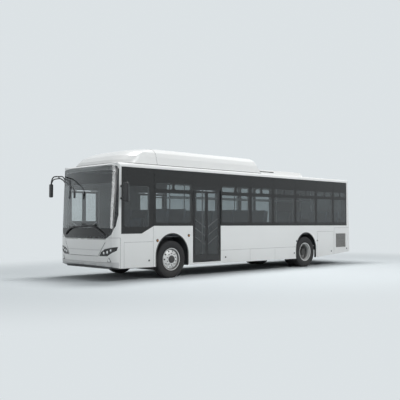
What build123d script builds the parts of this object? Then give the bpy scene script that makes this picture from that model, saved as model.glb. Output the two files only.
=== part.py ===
import os
from math import atan2, cos, pi, sin
from build123d import *

# Low-floor electric city bus, millimetres.
# X points forward, Y to the bus's own left, Z up, and the ground is Z = 0.

os.makedirs("parts", exist_ok=True)

# Main sizes
FRONT_AXLE_X = 3210
WHEELBASE = 6000
REAR_AXLE_X = FRONT_AXLE_X - WHEELBASE
HALF_WIDTH = 1275
WALL_T = 70
WALL_FRONT_X = 4970
WALL_REAR_X = -5290
BODY_BOTTOM_Z = 300
WALL_TOP_Z = 2945
END_TOP_Z = 2880
TAIL_EXTRA = 80
TAIL_HIGH_Z = 1300

# Roof section
CANT_Z = 2950
CANT_R = 90
ROOF_TOP_Z = CANT_Z + CANT_R
ROOF_T = 60

# Floor
FLOOR_TOP_Z = 380
FLOOR_T = 60
DECK_TOP_Z = 760
DECK_FRONT_X = REAR_AXLE_X + 650
DECK_T = 60
TONGUE_X = 5090
TONGUE_HALF_Y = 980
BOX_T = 30
FRONT_BOX_HALF_X = 600
FRONT_BOX_IN_Y = 590
FRONT_BOX_TOP_Z = 1110
REAR_BOX_HALF_X = 575
REAR_BOX_IN_Y = 620
REAR_BOX_TOP_Z = 1090
JACK_PAD_X = (2300, -1900)
JACK_PAD_Y = 950
JACK_PAD_R = 70
JACK_PAD_T = 20

# Wheel arches in the walls
FRONT_ARCH_R = 585
FRONT_ARCH_Z = 620
REAR_ARCH_R = 550
REAR_ARCH_Z = 600

# Dark band of the side glass
BELT_FRONT_Z = 1420
BELT_REAR_Z = 1380
BAND_FRONT_X = 4940
BAND_REAR_X = -5230
BAND_TOP_Z = 2932
DRIVER_LOW_Z = 1217
DRIVER_LOW_X = 4280
DRIVER_REAR_X = 3866
GLASS_T = 6
PANE_GAP = 4
HOLE_EDGE = 60
HOLE_R = 50
# columns: low edge, high edge, lights side by side
LEFT_LIGHTS = ((1500, 2300, 1), (2400, 2560, 2))
RIGHT_LIGHTS = ((1500, 2710, 1),)
LIGHT_POST = 50
SEAM_W = 5
SEAM_DEEP = 4

# Front end
FRONT_BOW_R = 6000
FRONT_T = 45
SCREEN_T = 14
# columns: level, walls' run beyond the upright end, reach beyond the walls
FRONT_LEVELS = ((300, 0, 262), (640, 0, 285), (1100, 0, 285), (END_TOP_Z, 0, 190), (3060, 0, 190))
BUMPER_TOP_Z = 590
FLAP_T = 16
FLAP_GAP = 10
FLAP_TOP_Z = 1070
FLAP_LOW_Z = 650
FLAP_TOP_HALF_Y = 930
FLAP_LOW_HALF_Y = 680
FLAP_SIDE = 70
# the hinge barrels of the two lids lie in their top gaps
BARREL_R = 4.7
FLAP_HINGE_X = 5252
FLAP_HINGE_Z = FLAP_TOP_Z + FLAP_GAP / 2

# Rear end
REAR_BOW_R = 20000
REAR_T = 45
REAR_LEVELS = ((440, TAIL_EXTRA, 100), (TAIL_HIGH_Z, TAIL_EXTRA, 100), (END_TOP_Z, 0, 110), (3060, 0, 110))
REAR_PANE_HALF_Y = 1000
REAR_PANE_LOW_Z = 1560
REAR_PANE_HIGH_Z = 2650
HATCH_HALF_Y = 850
HATCH_LOW_Z = 600
HATCH_HIGH_Z = 1400
HATCH_T = 30
HATCH_GAP = 10
HATCH_HINGE_X = -5465
HATCH_HINGE_Z = HATCH_HIGH_Z + HATCH_GAP / 2

# Wheels
TYRE_R = 506
WHEEL_Y = 1112
TWIN_PITCH = 315
SPINDLE_R = 45
SPINDLE_GAP = 0.5
HAND_HOLE_R = 24
HAND_HOLE_PITCH_R = 222
HAND_HOLES = 10
KINGPIN_Y = 985
KINGPIN_R = 30
KINGPIN_GAP = 0.5

# Doors
DOOR_LOW_Z = FLOOR_TOP_Z
DOOR_HIGH_Z = 2490
POST_S = 30
POST_R = 16
POST_GAP = 0.3
LEAF_CLEAR = 26
LEAF_OVER = 18
LEAF_MID_GAP = 4
LEAF_OUT = 14
LEAF_T = 36
LEAF_LINE = LEAF_OUT + LEAF_T / 2
LEAF_LOW_Z = 408
LEAF_HIGH_Z = 2396
ARM_T = 16
ARM_LOW_Z = 386
ARM_HIGH_Z = 2402
ARM_W = 36
PIN_R = 8
PIN_GAP = 0.5
GUIDE_TOP_Z = 2450
HEADER_LOW_Z = 2424
SLOT_HALF = 14
SLOT_DEPTH = 40
STILE = 52
LEAF_RAIL_HIGH = 56
LEAF_REBATE = 14
# columns: name, side, rear edge, front edge, low edge of the glass
DOORS = (
    ("left_mid", 1, 1335, 2450, 600),
    ("right_front", -1, 3865, 4905, 1540),
    ("right_mid", -1, 1335, 2450, 1540),
)

# Rear panes by side; a closed equipment tower stands in the right rear corner
REAR_PANE_EDGES = {
    1: (1331, 17, -1057, -2216, -3367, -4384, -5226),
    -1: (1331, 17, -1057, -2216, -3000, -3950, -5226),
}
TOWER_FRONT_X = -3950

# Seams of the outer panels and service flaps
# columns: rear end, front end, low end, high end
CAB_SEAMS = ((3880, 4846, 1000, 1000), (3880, 3880, 290, 1424), (4846, 4846, 290, 1000))
SIDE_SEAMS = ((-2235, 1330, 690, 690), (46, 46, 290, 690), (-1147, -1147, 290, 690),
              (-4390, -3440, 1180, 1180), (-3440, -3440, 290, 1180), (-4390, -4390, 290, 1180),
              (-5370, -4450, 1300, 1300), (-4450, -4450, 290, 1300))


def side_plane(y):
    return Plane.XZ.offset(-y)


def side_cut(way, near, far):
    # start and amount of a layer of a wall, measured inwards from its outer face
    if way > 0:
        return side_plane(HALF_WIDTH - near), far - near
    return side_plane(far - HALF_WIDTH), far - near


def box(x0, x1, y0, y1, z0, z1, mode=Mode.ADD):
    with BuildSketch(Plane.XY.offset(z0)) as base:
        with Locations(((x0 + x1) / 2, (y0 + y1) / 2)):
            Rectangle(abs(x1 - x0), abs(y1 - y0))
    extrude(base.sketch, amount=z1 - z0, mode=mode)


def rod(start, end, radius, mode=Mode.ADD):
    span = Vector(*end) - Vector(*start)
    with BuildSketch(Plane(origin=start, z_dir=span)) as base:
        Circle(radius)
    extrude(base.sketch, amount=span.length, mode=mode)


def area(points):
    with BuildLine() as edge:
        Polyline(*points, close=True)
    make_face(edge.edges())


def span_rect(x0, x1, z0, z1, mode=Mode.ADD):
    with Locations(((x0 + x1) / 2, (z0 + z1) / 2)):
        Rectangle(abs(x1 - x0), abs(z1 - z0), mode=mode)


def end_outline(level, end_x, reach, bow, inset, way):
    # plan of a bowed end whose corners are tangent to the walls and to the bow
    half = HALF_WIDTH - inset
    bow_r = bow - inset
    span = bow - reach
    corner_r = (bow_r ** 2 - span ** 2 - half ** 2) / (2 * (bow_r - half))
    corner_y = half - corner_r
    grow = bow_r / (bow_r - corner_r)
    centre_x = end_x + way * (reach - bow)
    join = (centre_x + way * span * grow, corner_y * grow)
    turn = (pi / 2 + atan2(corner_y, span)) / 2
    middle = (end_x + way * corner_r * cos(turn), corner_y + corner_r * sin(turn))
    with BuildSketch(Plane.XY.offset(level)) as outline:
        with BuildLine():
            Line((end_x, -half), (end_x, half))
            ThreePointArc((end_x, half), middle, join)
            ThreePointArc(join, (centre_x + way * bow_r, 0), (join[0], -join[1]))
            ThreePointArc((join[0], -join[1]), (middle[0], -middle[1]), (end_x, -half))
        make_face()
    return outline.sketch


def body_section(inset, low):
    half = HALF_WIDTH - inset
    flat = HALF_WIDTH - CANT_R
    bend = (CANT_R - inset) * sin(pi / 4)
    with BuildLine() as edge:
        Polyline((-half, CANT_Z), (-half, low), (half, low), (half, CANT_Z))
        ThreePointArc((half, CANT_Z), (flat + bend, CANT_Z + bend), (flat, ROOF_TOP_Z - inset))
        Line((flat, ROOF_TOP_Z - inset), (-flat, ROOF_TOP_Z - inset))
        ThreePointArc((-flat, ROOF_TOP_Z - inset), (-flat - bend, CANT_Z + bend), (-half, CANT_Z))
    make_face(edge.edges())


def end_solid(levels, end_x, bow, inset, way, brow):
    outlines = []
    for level, extra, reach in levels:
        outlines.append(end_outline(level, end_x + way * extra, reach, bow, inset, way))
    loft(outlines, ruled=True)
    low = levels[0][0]
    with BuildSketch(Plane.YZ.offset(end_x)) as section:
        body_section(inset, low)
    extrude(section.sketch, amount=600 * way, mode=Mode.INTERSECT)
    # the brow rounds the top edge of the end over to the roof
    top = ROOF_TOP_Z - inset
    lip = end_x + way * (brow - inset)
    drop = (brow - inset) * (1 - sin(pi / 4))
    with BuildSketch(Plane.XZ) as profile:
        with BuildLine():
            Polyline((end_x, top), (end_x, low), (end_x + way * 700, low), (end_x + way * 700, top - brow + inset),
                     (lip, top - brow + inset))
            ThreePointArc((lip, top - brow + inset), (lip - way * drop, top - drop), (end_x, top))
        make_face()
    extrude(profile.sketch, amount=2000, both=True, mode=Mode.INTERSECT)


# Front end layers
with BuildPart() as front_outer:
    end_solid(FRONT_LEVELS, WALL_FRONT_X, FRONT_BOW_R, 0, 1, 190)
with BuildPart() as front_glass_layer:
    end_solid(FRONT_LEVELS, WALL_FRONT_X, FRONT_BOW_R, SCREEN_T, 1, 190)
with BuildPart() as front_flap_layer:
    end_solid(FRONT_LEVELS, WALL_FRONT_X, FRONT_BOW_R, FLAP_T, 1, 190)
with BuildPart() as front_inner:
    end_solid(FRONT_LEVELS, WALL_FRONT_X, FRONT_BOW_R, FRONT_T, 1, 190)

SCREEN_OUTLINE = ((-940, 1090), (940, 1090), (1130, 1200), (1235, 1420), (1266, 1700), (1266, 2860),
                  (1225, 2935), (1130, 2962), (700, 2985), (-700, 2985), (-1130, 2962), (-1225, 2935),
                  (-1266, 2860), (-1266, 1700), (-1235, 1420), (-1130, 1200))
SCREEN_HOLE = ((-880, 1150), (880, 1150), (1070, 1260), (1165, 1460), (1195, 1700), (1195, 2770),
               (1110, 2840), (690, 2860), (-690, 2860), (-1110, 2840), (-1195, 2770), (-1195, 1700),
               (-1165, 1460), (-1070, 1260))
LAMP_OUTLINE = ((705, 645), (1000, 650), (1250, 790), (1266, 890), (1100, 868), (900, 828), (775, 745))
FLAP_OUTLINE = ((-FLAP_LOW_HALF_Y, FLAP_LOW_Z), (FLAP_LOW_HALF_Y, FLAP_LOW_Z),
                (FLAP_TOP_HALF_Y, FLAP_TOP_Z - FLAP_SIDE), (FLAP_TOP_HALF_Y, FLAP_TOP_Z),
                (-FLAP_TOP_HALF_Y, FLAP_TOP_Z), (-FLAP_TOP_HALF_Y, FLAP_TOP_Z - FLAP_SIDE))
# columns: place across, level, radius of a round lens
LENSES = ((865, 728, 44), (985, 752, 50), (1105, 800, 46))

front_plane = Plane.YZ.offset(WALL_FRONT_X)

with BuildPart() as windscreen:
    add(front_outer.part)
    add(front_glass_layer.part, mode=Mode.SUBTRACT)
    with BuildSketch(front_plane):
        area(SCREEN_OUTLINE)
    extrude(amount=600, mode=Mode.INTERSECT)
windscreen.part.label = "windscreen"

with BuildPart() as front_flap:
    add(front_outer.part)
    add(front_flap_layer.part, mode=Mode.SUBTRACT)
    with BuildSketch(front_plane):
        area(FLAP_OUTLINE)
    extrude(amount=600, mode=Mode.INTERSECT)
    for way in (1, -1):
        rod((FLAP_HINGE_X, way * 90, FLAP_HINGE_Z), (FLAP_HINGE_X, way * 210, FLAP_HINGE_Z), BARREL_R)
        box(FLAP_HINGE_X - BARREL_R - 4, FLAP_HINGE_X, way * 90, way * 210, FLAP_TOP_Z - 6, FLAP_HINGE_Z)
front_flap.part.label = "front_flap"

with BuildPart() as head_lamps:
    add(front_outer.part)
    add(front_inner.part, mode=Mode.SUBTRACT)
    with BuildSketch(front_plane):
        area(LAMP_OUTLINE)
        mirror(about=Plane.YZ)
    extrude(amount=600, mode=Mode.INTERSECT)
    with BuildPart(mode=Mode.PRIVATE) as pockets:
        add(front_outer.part)
        add(front_flap_layer.part, mode=Mode.SUBTRACT)
        with BuildSketch(front_plane):
            for y, z, radius in LENSES:
                with Locations((y, z), (-y, z)):
                    Circle(radius)
        extrude(amount=600, mode=Mode.INTERSECT)
    add(pockets.part, mode=Mode.SUBTRACT)
head_lamps.part.label = "head_lamps"

with BuildPart() as front_bumper:
    add(front_outer.part)
    add(front_inner.part, mode=Mode.SUBTRACT)
    box(WALL_FRONT_X, WALL_FRONT_X + 600, -1400, 1400, 0, BUMPER_TOP_Z, mode=Mode.INTERSECT)
front_bumper.part.label = "front_bumper"

with BuildPart() as front_mask:
    add(front_outer.part)
    add(front_inner.part, mode=Mode.SUBTRACT)
    box(WALL_FRONT_X, WALL_FRONT_X + 600, -1400, 1400, BUMPER_TOP_Z, 3200, mode=Mode.INTERSECT)
    add(windscreen.part, mode=Mode.SUBTRACT)
    add(head_lamps.part, mode=Mode.SUBTRACT)
    add(pockets.part, mode=Mode.SUBTRACT)
    with BuildSketch(front_plane):
        area(SCREEN_HOLE)
    extrude(amount=600, mode=Mode.SUBTRACT)
    with BuildSketch(front_plane):
        area(FLAP_OUTLINE)
        offset(amount=FLAP_GAP, kind=Kind.INTERSECTION)
    extrude(amount=600, mode=Mode.SUBTRACT)
front_mask.part.label = "front_mask"

# Rear end layers
with BuildPart() as rear_outer:
    end_solid(REAR_LEVELS, WALL_REAR_X, REAR_BOW_R, 0, -1, 110)
with BuildPart() as rear_glass_layer:
    end_solid(REAR_LEVELS, WALL_REAR_X, REAR_BOW_R, GLASS_T, -1, 110)
with BuildPart() as rear_hatch_layer:
    end_solid(REAR_LEVELS, WALL_REAR_X, REAR_BOW_R, HATCH_T, -1, 110)
with BuildPart() as rear_inner:
    end_solid(REAR_LEVELS, WALL_REAR_X, REAR_BOW_R, REAR_T, -1, 110)

rear_plane = Plane.YZ.offset(WALL_REAR_X - 600)

with BuildPart() as rear_glass:
    add(rear_outer.part)
    add(rear_glass_layer.part, mode=Mode.SUBTRACT)
    with BuildSketch(rear_plane):
        span_rect(-REAR_PANE_HALF_Y, REAR_PANE_HALF_Y, REAR_PANE_LOW_Z, REAR_PANE_HIGH_Z)
    extrude(amount=600, mode=Mode.INTERSECT)
rear_glass.part.label = "rear_glass"

with BuildPart() as rear_hatch:
    add(rear_outer.part)
    add(rear_hatch_layer.part, mode=Mode.SUBTRACT)
    with BuildSketch(rear_plane):
        span_rect(-HATCH_HALF_Y, HATCH_HALF_Y, HATCH_LOW_Z, HATCH_HIGH_Z)
    extrude(amount=600, mode=Mode.INTERSECT)
    for way in (1, -1):
        rod((HATCH_HINGE_X, way * 100, HATCH_HINGE_Z), (HATCH_HINGE_X, way * 260, HATCH_HINGE_Z), BARREL_R)
        box(HATCH_HINGE_X, HATCH_HINGE_X + BARREL_R + 4, way * 100, way * 260, HATCH_HIGH_Z - 6, HATCH_HINGE_Z)
rear_hatch.part.label = "rear_hatch"

with BuildPart() as tail_lamps:
    add(rear_outer.part)
    add(rear_inner.part, mode=Mode.SUBTRACT)
    with BuildSketch(rear_plane):
        for way in (1, -1):
            span_rect(way * 1110, way * 1255, 1060, 1520)
    extrude(amount=600, mode=Mode.INTERSECT)
tail_lamps.part.label = "tail_lamps"

with BuildPart() as rear_wall:
    add(rear_outer.part)
    add(rear_inner.part, mode=Mode.SUBTRACT)
    add(rear_glass.part, mode=Mode.SUBTRACT)
    add(tail_lamps.part, mode=Mode.SUBTRACT)
    with BuildSketch(rear_plane):
        span_rect(-REAR_PANE_HALF_Y + 60, REAR_PANE_HALF_Y - 60, REAR_PANE_LOW_Z + 60, REAR_PANE_HIGH_Z - 60)
        span_rect(-HATCH_HALF_Y - HATCH_GAP, HATCH_HALF_Y + HATCH_GAP, HATCH_LOW_Z - HATCH_GAP,
                  HATCH_HIGH_Z + HATCH_GAP)
    extrude(amount=600, mode=Mode.SUBTRACT)
rear_wall.part.label = "rear_wall"

# Roof
with BuildPart() as roof:
    with BuildSketch(Plane.YZ.offset(WALL_REAR_X)):
        body_section(0, WALL_TOP_Z)
    extrude(amount=WALL_FRONT_X - WALL_REAR_X)
    with BuildSketch(Plane.YZ.offset(WALL_REAR_X)):
        body_section(ROOF_T, WALL_TOP_Z - 10)
    extrude(amount=WALL_FRONT_X - WALL_REAR_X, mode=Mode.SUBTRACT)
roof.part.label = "roof"

# Side walls
WALL_OUTLINE = ((WALL_FRONT_X, 340), (WALL_FRONT_X, WALL_TOP_Z), (WALL_REAR_X, WALL_TOP_Z),
                (WALL_REAR_X, END_TOP_Z), (WALL_REAR_X - TAIL_EXTRA, TAIL_HIGH_Z), (WALL_REAR_X - TAIL_EXTRA, 440),
                (-3420, 300), (-2200, 300))


def belt_z(x):
    part = (BAND_FRONT_X - x) / (BAND_FRONT_X - BAND_REAR_X)
    return BELT_FRONT_Z + (BELT_REAR_Z - BELT_FRONT_Z) * part


DRIVER_PANE = ((BAND_FRONT_X - PANE_GAP, DRIVER_LOW_Z + PANE_GAP), (BAND_FRONT_X - PANE_GAP, BAND_TOP_Z - PANE_GAP),
               (DRIVER_REAR_X, BAND_TOP_Z - PANE_GAP), (DRIVER_REAR_X, belt_z(DRIVER_REAR_X) + PANE_GAP),
               (DRIVER_LOW_X, DRIVER_LOW_Z + PANE_GAP))
LEFT_BAND = ((BAND_FRONT_X, DRIVER_LOW_Z), (BAND_FRONT_X, BAND_TOP_Z), (BAND_REAR_X, BAND_TOP_Z),
             (BAND_REAR_X, BELT_REAR_Z), (DRIVER_REAR_X - PANE_GAP, belt_z(DRIVER_REAR_X)),
             (DRIVER_LOW_X, DRIVER_LOW_Z))
RIGHT_BAND = ((BAND_FRONT_X, DOOR_HIGH_Z), (BAND_FRONT_X, BAND_TOP_Z), (BAND_REAR_X, BAND_TOP_Z),
              (BAND_REAR_X, BELT_REAR_Z), (3862, belt_z(3862)), (3862, DOOR_HIGH_Z))

# columns: rear edge, front edge, low edge or none for the belt, with a hole behind
PANES = {
    1: [(2454, 3858, None, True), (1335, 2450, DOOR_HIGH_Z, False)],
    -1: [(3866, 4936, DOOR_HIGH_Z, False), (2454, 3858, None, False), (1335, 2450, DOOR_HIGH_Z, False)],
}
for way in (1, -1):
    for front, rear in zip(REAR_PANE_EDGES[way][:-1], REAR_PANE_EDGES[way][1:]):
        PANES[way].append((rear + PANE_GAP, front, None, way > 0 or rear >= TOWER_FRONT_X))


def pane_corners(rear, front, low):
    low_rear = low if low else belt_z(rear)
    low_front = low if low else belt_z(front)
    return ((rear, low_rear + PANE_GAP), (front, low_front + PANE_GAP), (front, BAND_TOP_Z - PANE_GAP),
            (rear, BAND_TOP_Z - PANE_GAP))


def window_lights(rear, front, lights):
    for low, high, count in lights:
        width = (front - rear - (count - 1) * LIGHT_POST) / count
        for step in range(count):
            with Locations((rear + width / 2 + step * (width + LIGHT_POST), (low + high) / 2)):
                RectangleRounded(width, high - low, HOLE_R, mode=Mode.SUBTRACT)


def side_wall(way):
    plane, depth = side_cut(way, 0, WALL_T)
    with BuildSketch(plane) as outline:
        area(WALL_OUTLINE)
        for x, z, radius in ((FRONT_AXLE_X, FRONT_ARCH_Z, FRONT_ARCH_R), (REAR_AXLE_X, REAR_ARCH_Z, REAR_ARCH_R)):
            with Locations((x, z)):
                Circle(radius, mode=Mode.SUBTRACT)
            span_rect(x - radius, x + radius, 0, z, mode=Mode.SUBTRACT)
        for name, side, rear, front, glass_low in DOORS:
            if side == way:
                span_rect(rear, front, DOOR_LOW_Z, DOOR_HIGH_Z, mode=Mode.SUBTRACT)
        for rear, front, low, hole in PANES[way]:
            if hole:
                window_lights(rear + HOLE_EDGE, front - HOLE_EDGE, LEFT_LIGHTS if way > 0 else RIGHT_LIGHTS)
        if way > 0:
            with Locations(((4030 + 4840) / 2, (1400 + 2450) / 2)):
                RectangleRounded(4840 - 4030, 2450 - 1400, HOLE_R, mode=Mode.SUBTRACT)
    extrude(outline.sketch, amount=depth)
    plane, depth = side_cut(way, 0, GLASS_T)
    with BuildSketch(plane) as band:
        area(LEFT_BAND if way > 0 else RIGHT_BAND)
    extrude(band.sketch, amount=depth, mode=Mode.SUBTRACT)
    plane, depth = side_cut(way, 0, 30)
    with BuildSketch(plane) as grille:
        span_rect(GRILLE_REAR_X, GRILLE_FRONT_X, GRILLE_LOW_Z, GRILLE_HIGH_Z)
    extrude(grille.sketch, amount=depth, mode=Mode.SUBTRACT)
    plane, depth = side_cut(way, 0, SEAM_DEEP)
    with BuildSketch(plane) as seams:
        for rear, front, low, high in SIDE_SEAMS + (CAB_SEAMS if way > 0 else ()):
            span_rect(rear - SEAM_W / 2, front + SEAM_W / 2, low - SEAM_W / 2, high + SEAM_W / 2)
    extrude(seams.sketch, amount=depth, mode=Mode.SUBTRACT)


GRILLE_REAR_X = -5150
GRILLE_FRONT_X = -4540
GRILLE_LOW_Z = 610
GRILLE_HIGH_Z = 1100

with BuildPart() as left_wall:
    side_wall(1)
left_wall.part.label = "left_wall"
with BuildPart() as right_wall:
    side_wall(-1)
right_wall.part.label = "right_wall"

with BuildPart() as side_glass:
    for way in (1, -1):
        plane, depth = side_cut(way, 0, GLASS_T)
        with BuildSketch(plane):
            for rear, front, low, hole in PANES[way]:
                area(pane_corners(rear, front, low))
            if way > 0:
                area(DRIVER_PANE)
        extrude(amount=depth)
side_glass.part.label = "side_glass"

with BuildPart() as side_grilles:
    for way in (1, -1):
        plane, depth = side_cut(way, 6, 30)
        with BuildSketch(plane):
            span_rect(GRILLE_REAR_X, GRILLE_FRONT_X, GRILLE_LOW_Z, GRILLE_HIGH_Z)
            span_rect(GRILLE_REAR_X + 20, GRILLE_FRONT_X - 20, GRILLE_LOW_Z + 20, GRILLE_HIGH_Z - 20,
                      mode=Mode.SUBTRACT)
            for step in range(1, 12):
                z = GRILLE_LOW_Z + 20 + step * 37.5
                span_rect(GRILLE_REAR_X + 10, GRILLE_FRONT_X - 10, z - 9, z + 9)
        extrude(amount=depth)
side_grilles.part.label = "side_grilles"

# Floor with wheel boxes and rear deck
IN_Y = HALF_WIDTH - WALL_T
with BuildPart() as floor:
    box(DECK_FRONT_X, WALL_FRONT_X, -IN_Y, IN_Y, FLOOR_TOP_Z - FLOOR_T, FLOOR_TOP_Z)
    box(WALL_FRONT_X, TONGUE_X, -TONGUE_HALF_Y, TONGUE_HALF_Y, FLOOR_TOP_Z - FLOOR_T, FLOOR_TOP_Z)
    box(WALL_REAR_X, DECK_FRONT_X, -IN_Y, IN_Y, DECK_TOP_Z - DECK_T, DECK_TOP_Z)
    box(DECK_FRONT_X, DECK_FRONT_X + 40, -IN_Y, IN_Y, FLOOR_TOP_Z - FLOOR_T, DECK_TOP_Z)
    for way in (1, -1):
        box(FRONT_AXLE_X - FRONT_BOX_HALF_X - BOX_T, FRONT_AXLE_X + FRONT_BOX_HALF_X + BOX_T,
            way * (FRONT_BOX_IN_Y - BOX_T), way * IN_Y, FLOOR_TOP_Z - FLOOR_T, FRONT_BOX_TOP_Z + BOX_T)
        box(REAR_AXLE_X - REAR_BOX_HALF_X - BOX_T, REAR_AXLE_X + REAR_BOX_HALF_X + BOX_T,
            way * (REAR_BOX_IN_Y - BOX_T), way * IN_Y, DECK_TOP_Z - DECK_T, REAR_BOX_TOP_Z + BOX_T)
    for way in (1, -1):
        box(FRONT_AXLE_X - FRONT_BOX_HALF_X, FRONT_AXLE_X + FRONT_BOX_HALF_X,
            way * FRONT_BOX_IN_Y, way * IN_Y, 0, FRONT_BOX_TOP_Z, mode=Mode.SUBTRACT)
        box(REAR_AXLE_X - REAR_BOX_HALF_X, REAR_AXLE_X + REAR_BOX_HALF_X,
            way * REAR_BOX_IN_Y, way * IN_Y, 0, REAR_BOX_TOP_Z, mode=Mode.SUBTRACT)
    for x in JACK_PAD_X:
        for way in (1, -1):
            rod((x, way * JACK_PAD_Y, FLOOR_TOP_Z - FLOOR_T - JACK_PAD_T),
                (x, way * JACK_PAD_Y, FLOOR_TOP_Z - FLOOR_T / 2), JACK_PAD_R)
floor.part.label = "floor"

# Roof cover, battery and rear pod
FAIRING_T = 20
# columns: level, half width, front end, rear end, front corner radius
FAIRING_LEVELS = (
    (ROOF_TOP_Z, 1180, 4965, -590, 520),
    (3140, 1155, 4890, -520, 520),
    (3260, 1125, 4750, -460, 520),
    (3380, 1075, 4500, -400, 520),
    (3455, 1000, 4220, -360, 500),
    (3500, 900, 3900, -338, 480),
    (3515, 780, 3600, -330, 440),
)


def fairing_solid(inset):
    outlines = []
    for level, half, front, rear, radius in FAIRING_LEVELS:
        y = half - inset
        x0 = rear + inset
        x1 = front - inset
        r = radius - inset
        bend = r * (1 - sin(pi / 4))
        z = level - inset if level > ROOF_TOP_Z else level
        with BuildSketch(Plane.XY.offset(z)) as outline:
            with BuildLine():
                Polyline((x1 - r, y), (x0, y), (x0, -y), (x1 - r, -y))
                ThreePointArc((x1 - r, -y), (x1 - bend, -y + bend), (x1, -y + r))
                Line((x1, -y + r), (x1, y - r))
                ThreePointArc((x1, y - r), (x1 - bend, y - bend), (x1 - r, y))
            make_face()
        outlines.append(outline.sketch)
    loft(outlines, ruled=True)


with BuildPart() as fairing_inner:
    fairing_solid(FAIRING_T)
with BuildPart() as roof_fairing:
    fairing_solid(0)
    add(fairing_inner.part, mode=Mode.SUBTRACT)
roof_fairing.part.label = "roof_fairing"

with BuildPart() as battery_block:
    box(100, 4200, -800, 800, ROOF_TOP_Z, 3290)
battery_block.part.label = "battery_block"

POD_H = 140
POD_TOP_Z = ROOF_TOP_Z + POD_H
with BuildPart() as roof_pod:
    with BuildSketch(Plane.XZ):
        area(((-670, ROOF_TOP_Z), (-670, POD_TOP_Z), (-2840, POD_TOP_Z), (-2910, ROOF_TOP_Z)))
    extrude(amount=1060, both=True)
    with BuildSketch(Plane.YZ.offset(-3000)):
        area(((-1060, ROOF_TOP_Z), (1060, ROOF_TOP_Z), (1000, POD_TOP_Z), (-1000, POD_TOP_Z)))
    extrude(amount=3000, mode=Mode.INTERSECT)
roof_pod.part.label = "roof_pod"

# Mirrors and wipers
with BuildPart() as mirrors:
    box(5293, 5368, -1530, -1400, 2200, 2578)
    box(4943, 4967, -HALF_WIDTH - 16, -HALF_WIDTH - 0.3, 2500, 2620)
    rod((4955, -HALF_WIDTH - 14, 2560), (5010, -1350, 2780), 10)
    rod((5010, -1350, 2780), (5240, -1440, 2760), 16)
    rod((5240, -1440, 2760), (5330, -1465, 2570), 16)
    for joint in ((5010, -1350, 2780), (5240, -1440, 2760)):
        with Locations(joint):
            Sphere(16)
    box(4880, 4965, 1370, 1530, 2030, 2525)
    box(4943, 4967, HALF_WIDTH + 0.3, HALF_WIDTH + 16, 2060, 2490)
    for z in (2120, 2430):
        rod((4955, HALF_WIDTH + 14, z), (4940, 1380, z), 11)
mirrors.part.label = "mirrors"

with BuildPart() as wipers:
    for way in (1, -1):
        rod((5188.2, way * 880, 1200), (5218, way * 880, 1200), 20)
        rod((5208, way * 880, 1200), (5284, way * 60, 1330 + way * 40), 12)
wipers.part.label = "wipers"

# Cab and cabin
with BuildPart() as dashboard:
    box(4960, 5080, -960, 960, FLOOR_TOP_Z, 1060)
    with BuildSketch(side_plane(1150)):
        area(((4960, 900), (4960, 1130), (4760, 1130), (4680, 1060), (4740, 900)))
    extrude(amount=1000)
    rod((4700, 650, 960), (4590.2, 650, 1139.7), 30)
dashboard.part.label = "dashboard"

with BuildPart() as steering_wheel:
    wheel_plane = Plane(origin=(4590, 650, 1140), z_dir=(-110, 0, 180))
    with BuildSketch(wheel_plane):
        Circle(45)
        for turn in (90, 210, 330):
            with Locations(Location((0, 0), turn)):
                with Locations((110, 0)):
                    Rectangle(220, 30)
    extrude(amount=16)
    with BuildSketch(Plane(origin=wheel_plane.origin + wheel_plane.z_dir * 8, x_dir=wheel_plane.x_dir,
                           z_dir=wheel_plane.y_dir)):
        with Locations((225, 0)):
            Circle(16)
    revolve(axis=Axis(wheel_plane.origin, wheel_plane.z_dir))
steering_wheel.part.label = "steering_wheel"


def seat(x, y, width, base, sitting, top):
    # a plinth, a cushion and a high back that leans to the rear
    lean = (top - sitting) * SEAT_LEAN
    with BuildSketch(side_plane(y + width / 2)) as shape:
        area(((x + SEAT_LONG, sitting - SEAT_T), (x + SEAT_LONG, sitting), (x + SEAT_T, sitting - 15),
              (x + SEAT_T - lean, top), (x - lean, top), (x, sitting - SEAT_T)))
    extrude(shape.sketch, amount=width)
    box(x + SEAT_T, x + SEAT_LONG - 60, y - width / 2 + 50, y + width / 2 - 50, base, sitting - SEAT_T + 10)


SEAT_T = 80
SEAT_LONG = 430
SEAT_LEAN = 0.16
SEAT_TOP_Z = 1880
SEAT_Y = 820
SEAT_W = 720
with BuildPart() as driver_seat:
    seat(4000, 650, 520, FLOOR_TOP_Z, 900, 1640)
driver_seat.part.label = "driver_seat"

# columns: rear of the cushion, floor under it, level of the cushion, sides
SEAT_ROWS = (
    (3330, FRONT_BOX_TOP_Z + BOX_T, 1280, (1, -1)),
    (2720, FRONT_BOX_TOP_Z + BOX_T, 1280, (1, -1)),
    (780, FLOOR_TOP_Z, 1080, (1, -1)),
    (40, FLOOR_TOP_Z, 1080, (1, -1)),
    (-700, FLOOR_TOP_Z, 1080, (1, -1)),
    (-1440, FLOOR_TOP_Z, 1080, (-1,)),
    (-2760, REAR_BOX_TOP_Z + BOX_T, 1250, (-1,)),
    (-4060, DECK_TOP_Z, 1190, (1, -1)),
    (-4760, DECK_TOP_Z, 1190, (1, -1)),
)
with BuildPart() as passenger_seats:
    for x, base, sitting, sides in SEAT_ROWS:
        for way in sides:
            seat(x, way * SEAT_Y, SEAT_W, base, sitting, SEAT_TOP_Z)
passenger_seats.part.label = "passenger_seats"

RAIL_Y = 410
RAIL_Z = 2250
CEILING_Z = ROOF_TOP_Z - ROOF_T
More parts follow.
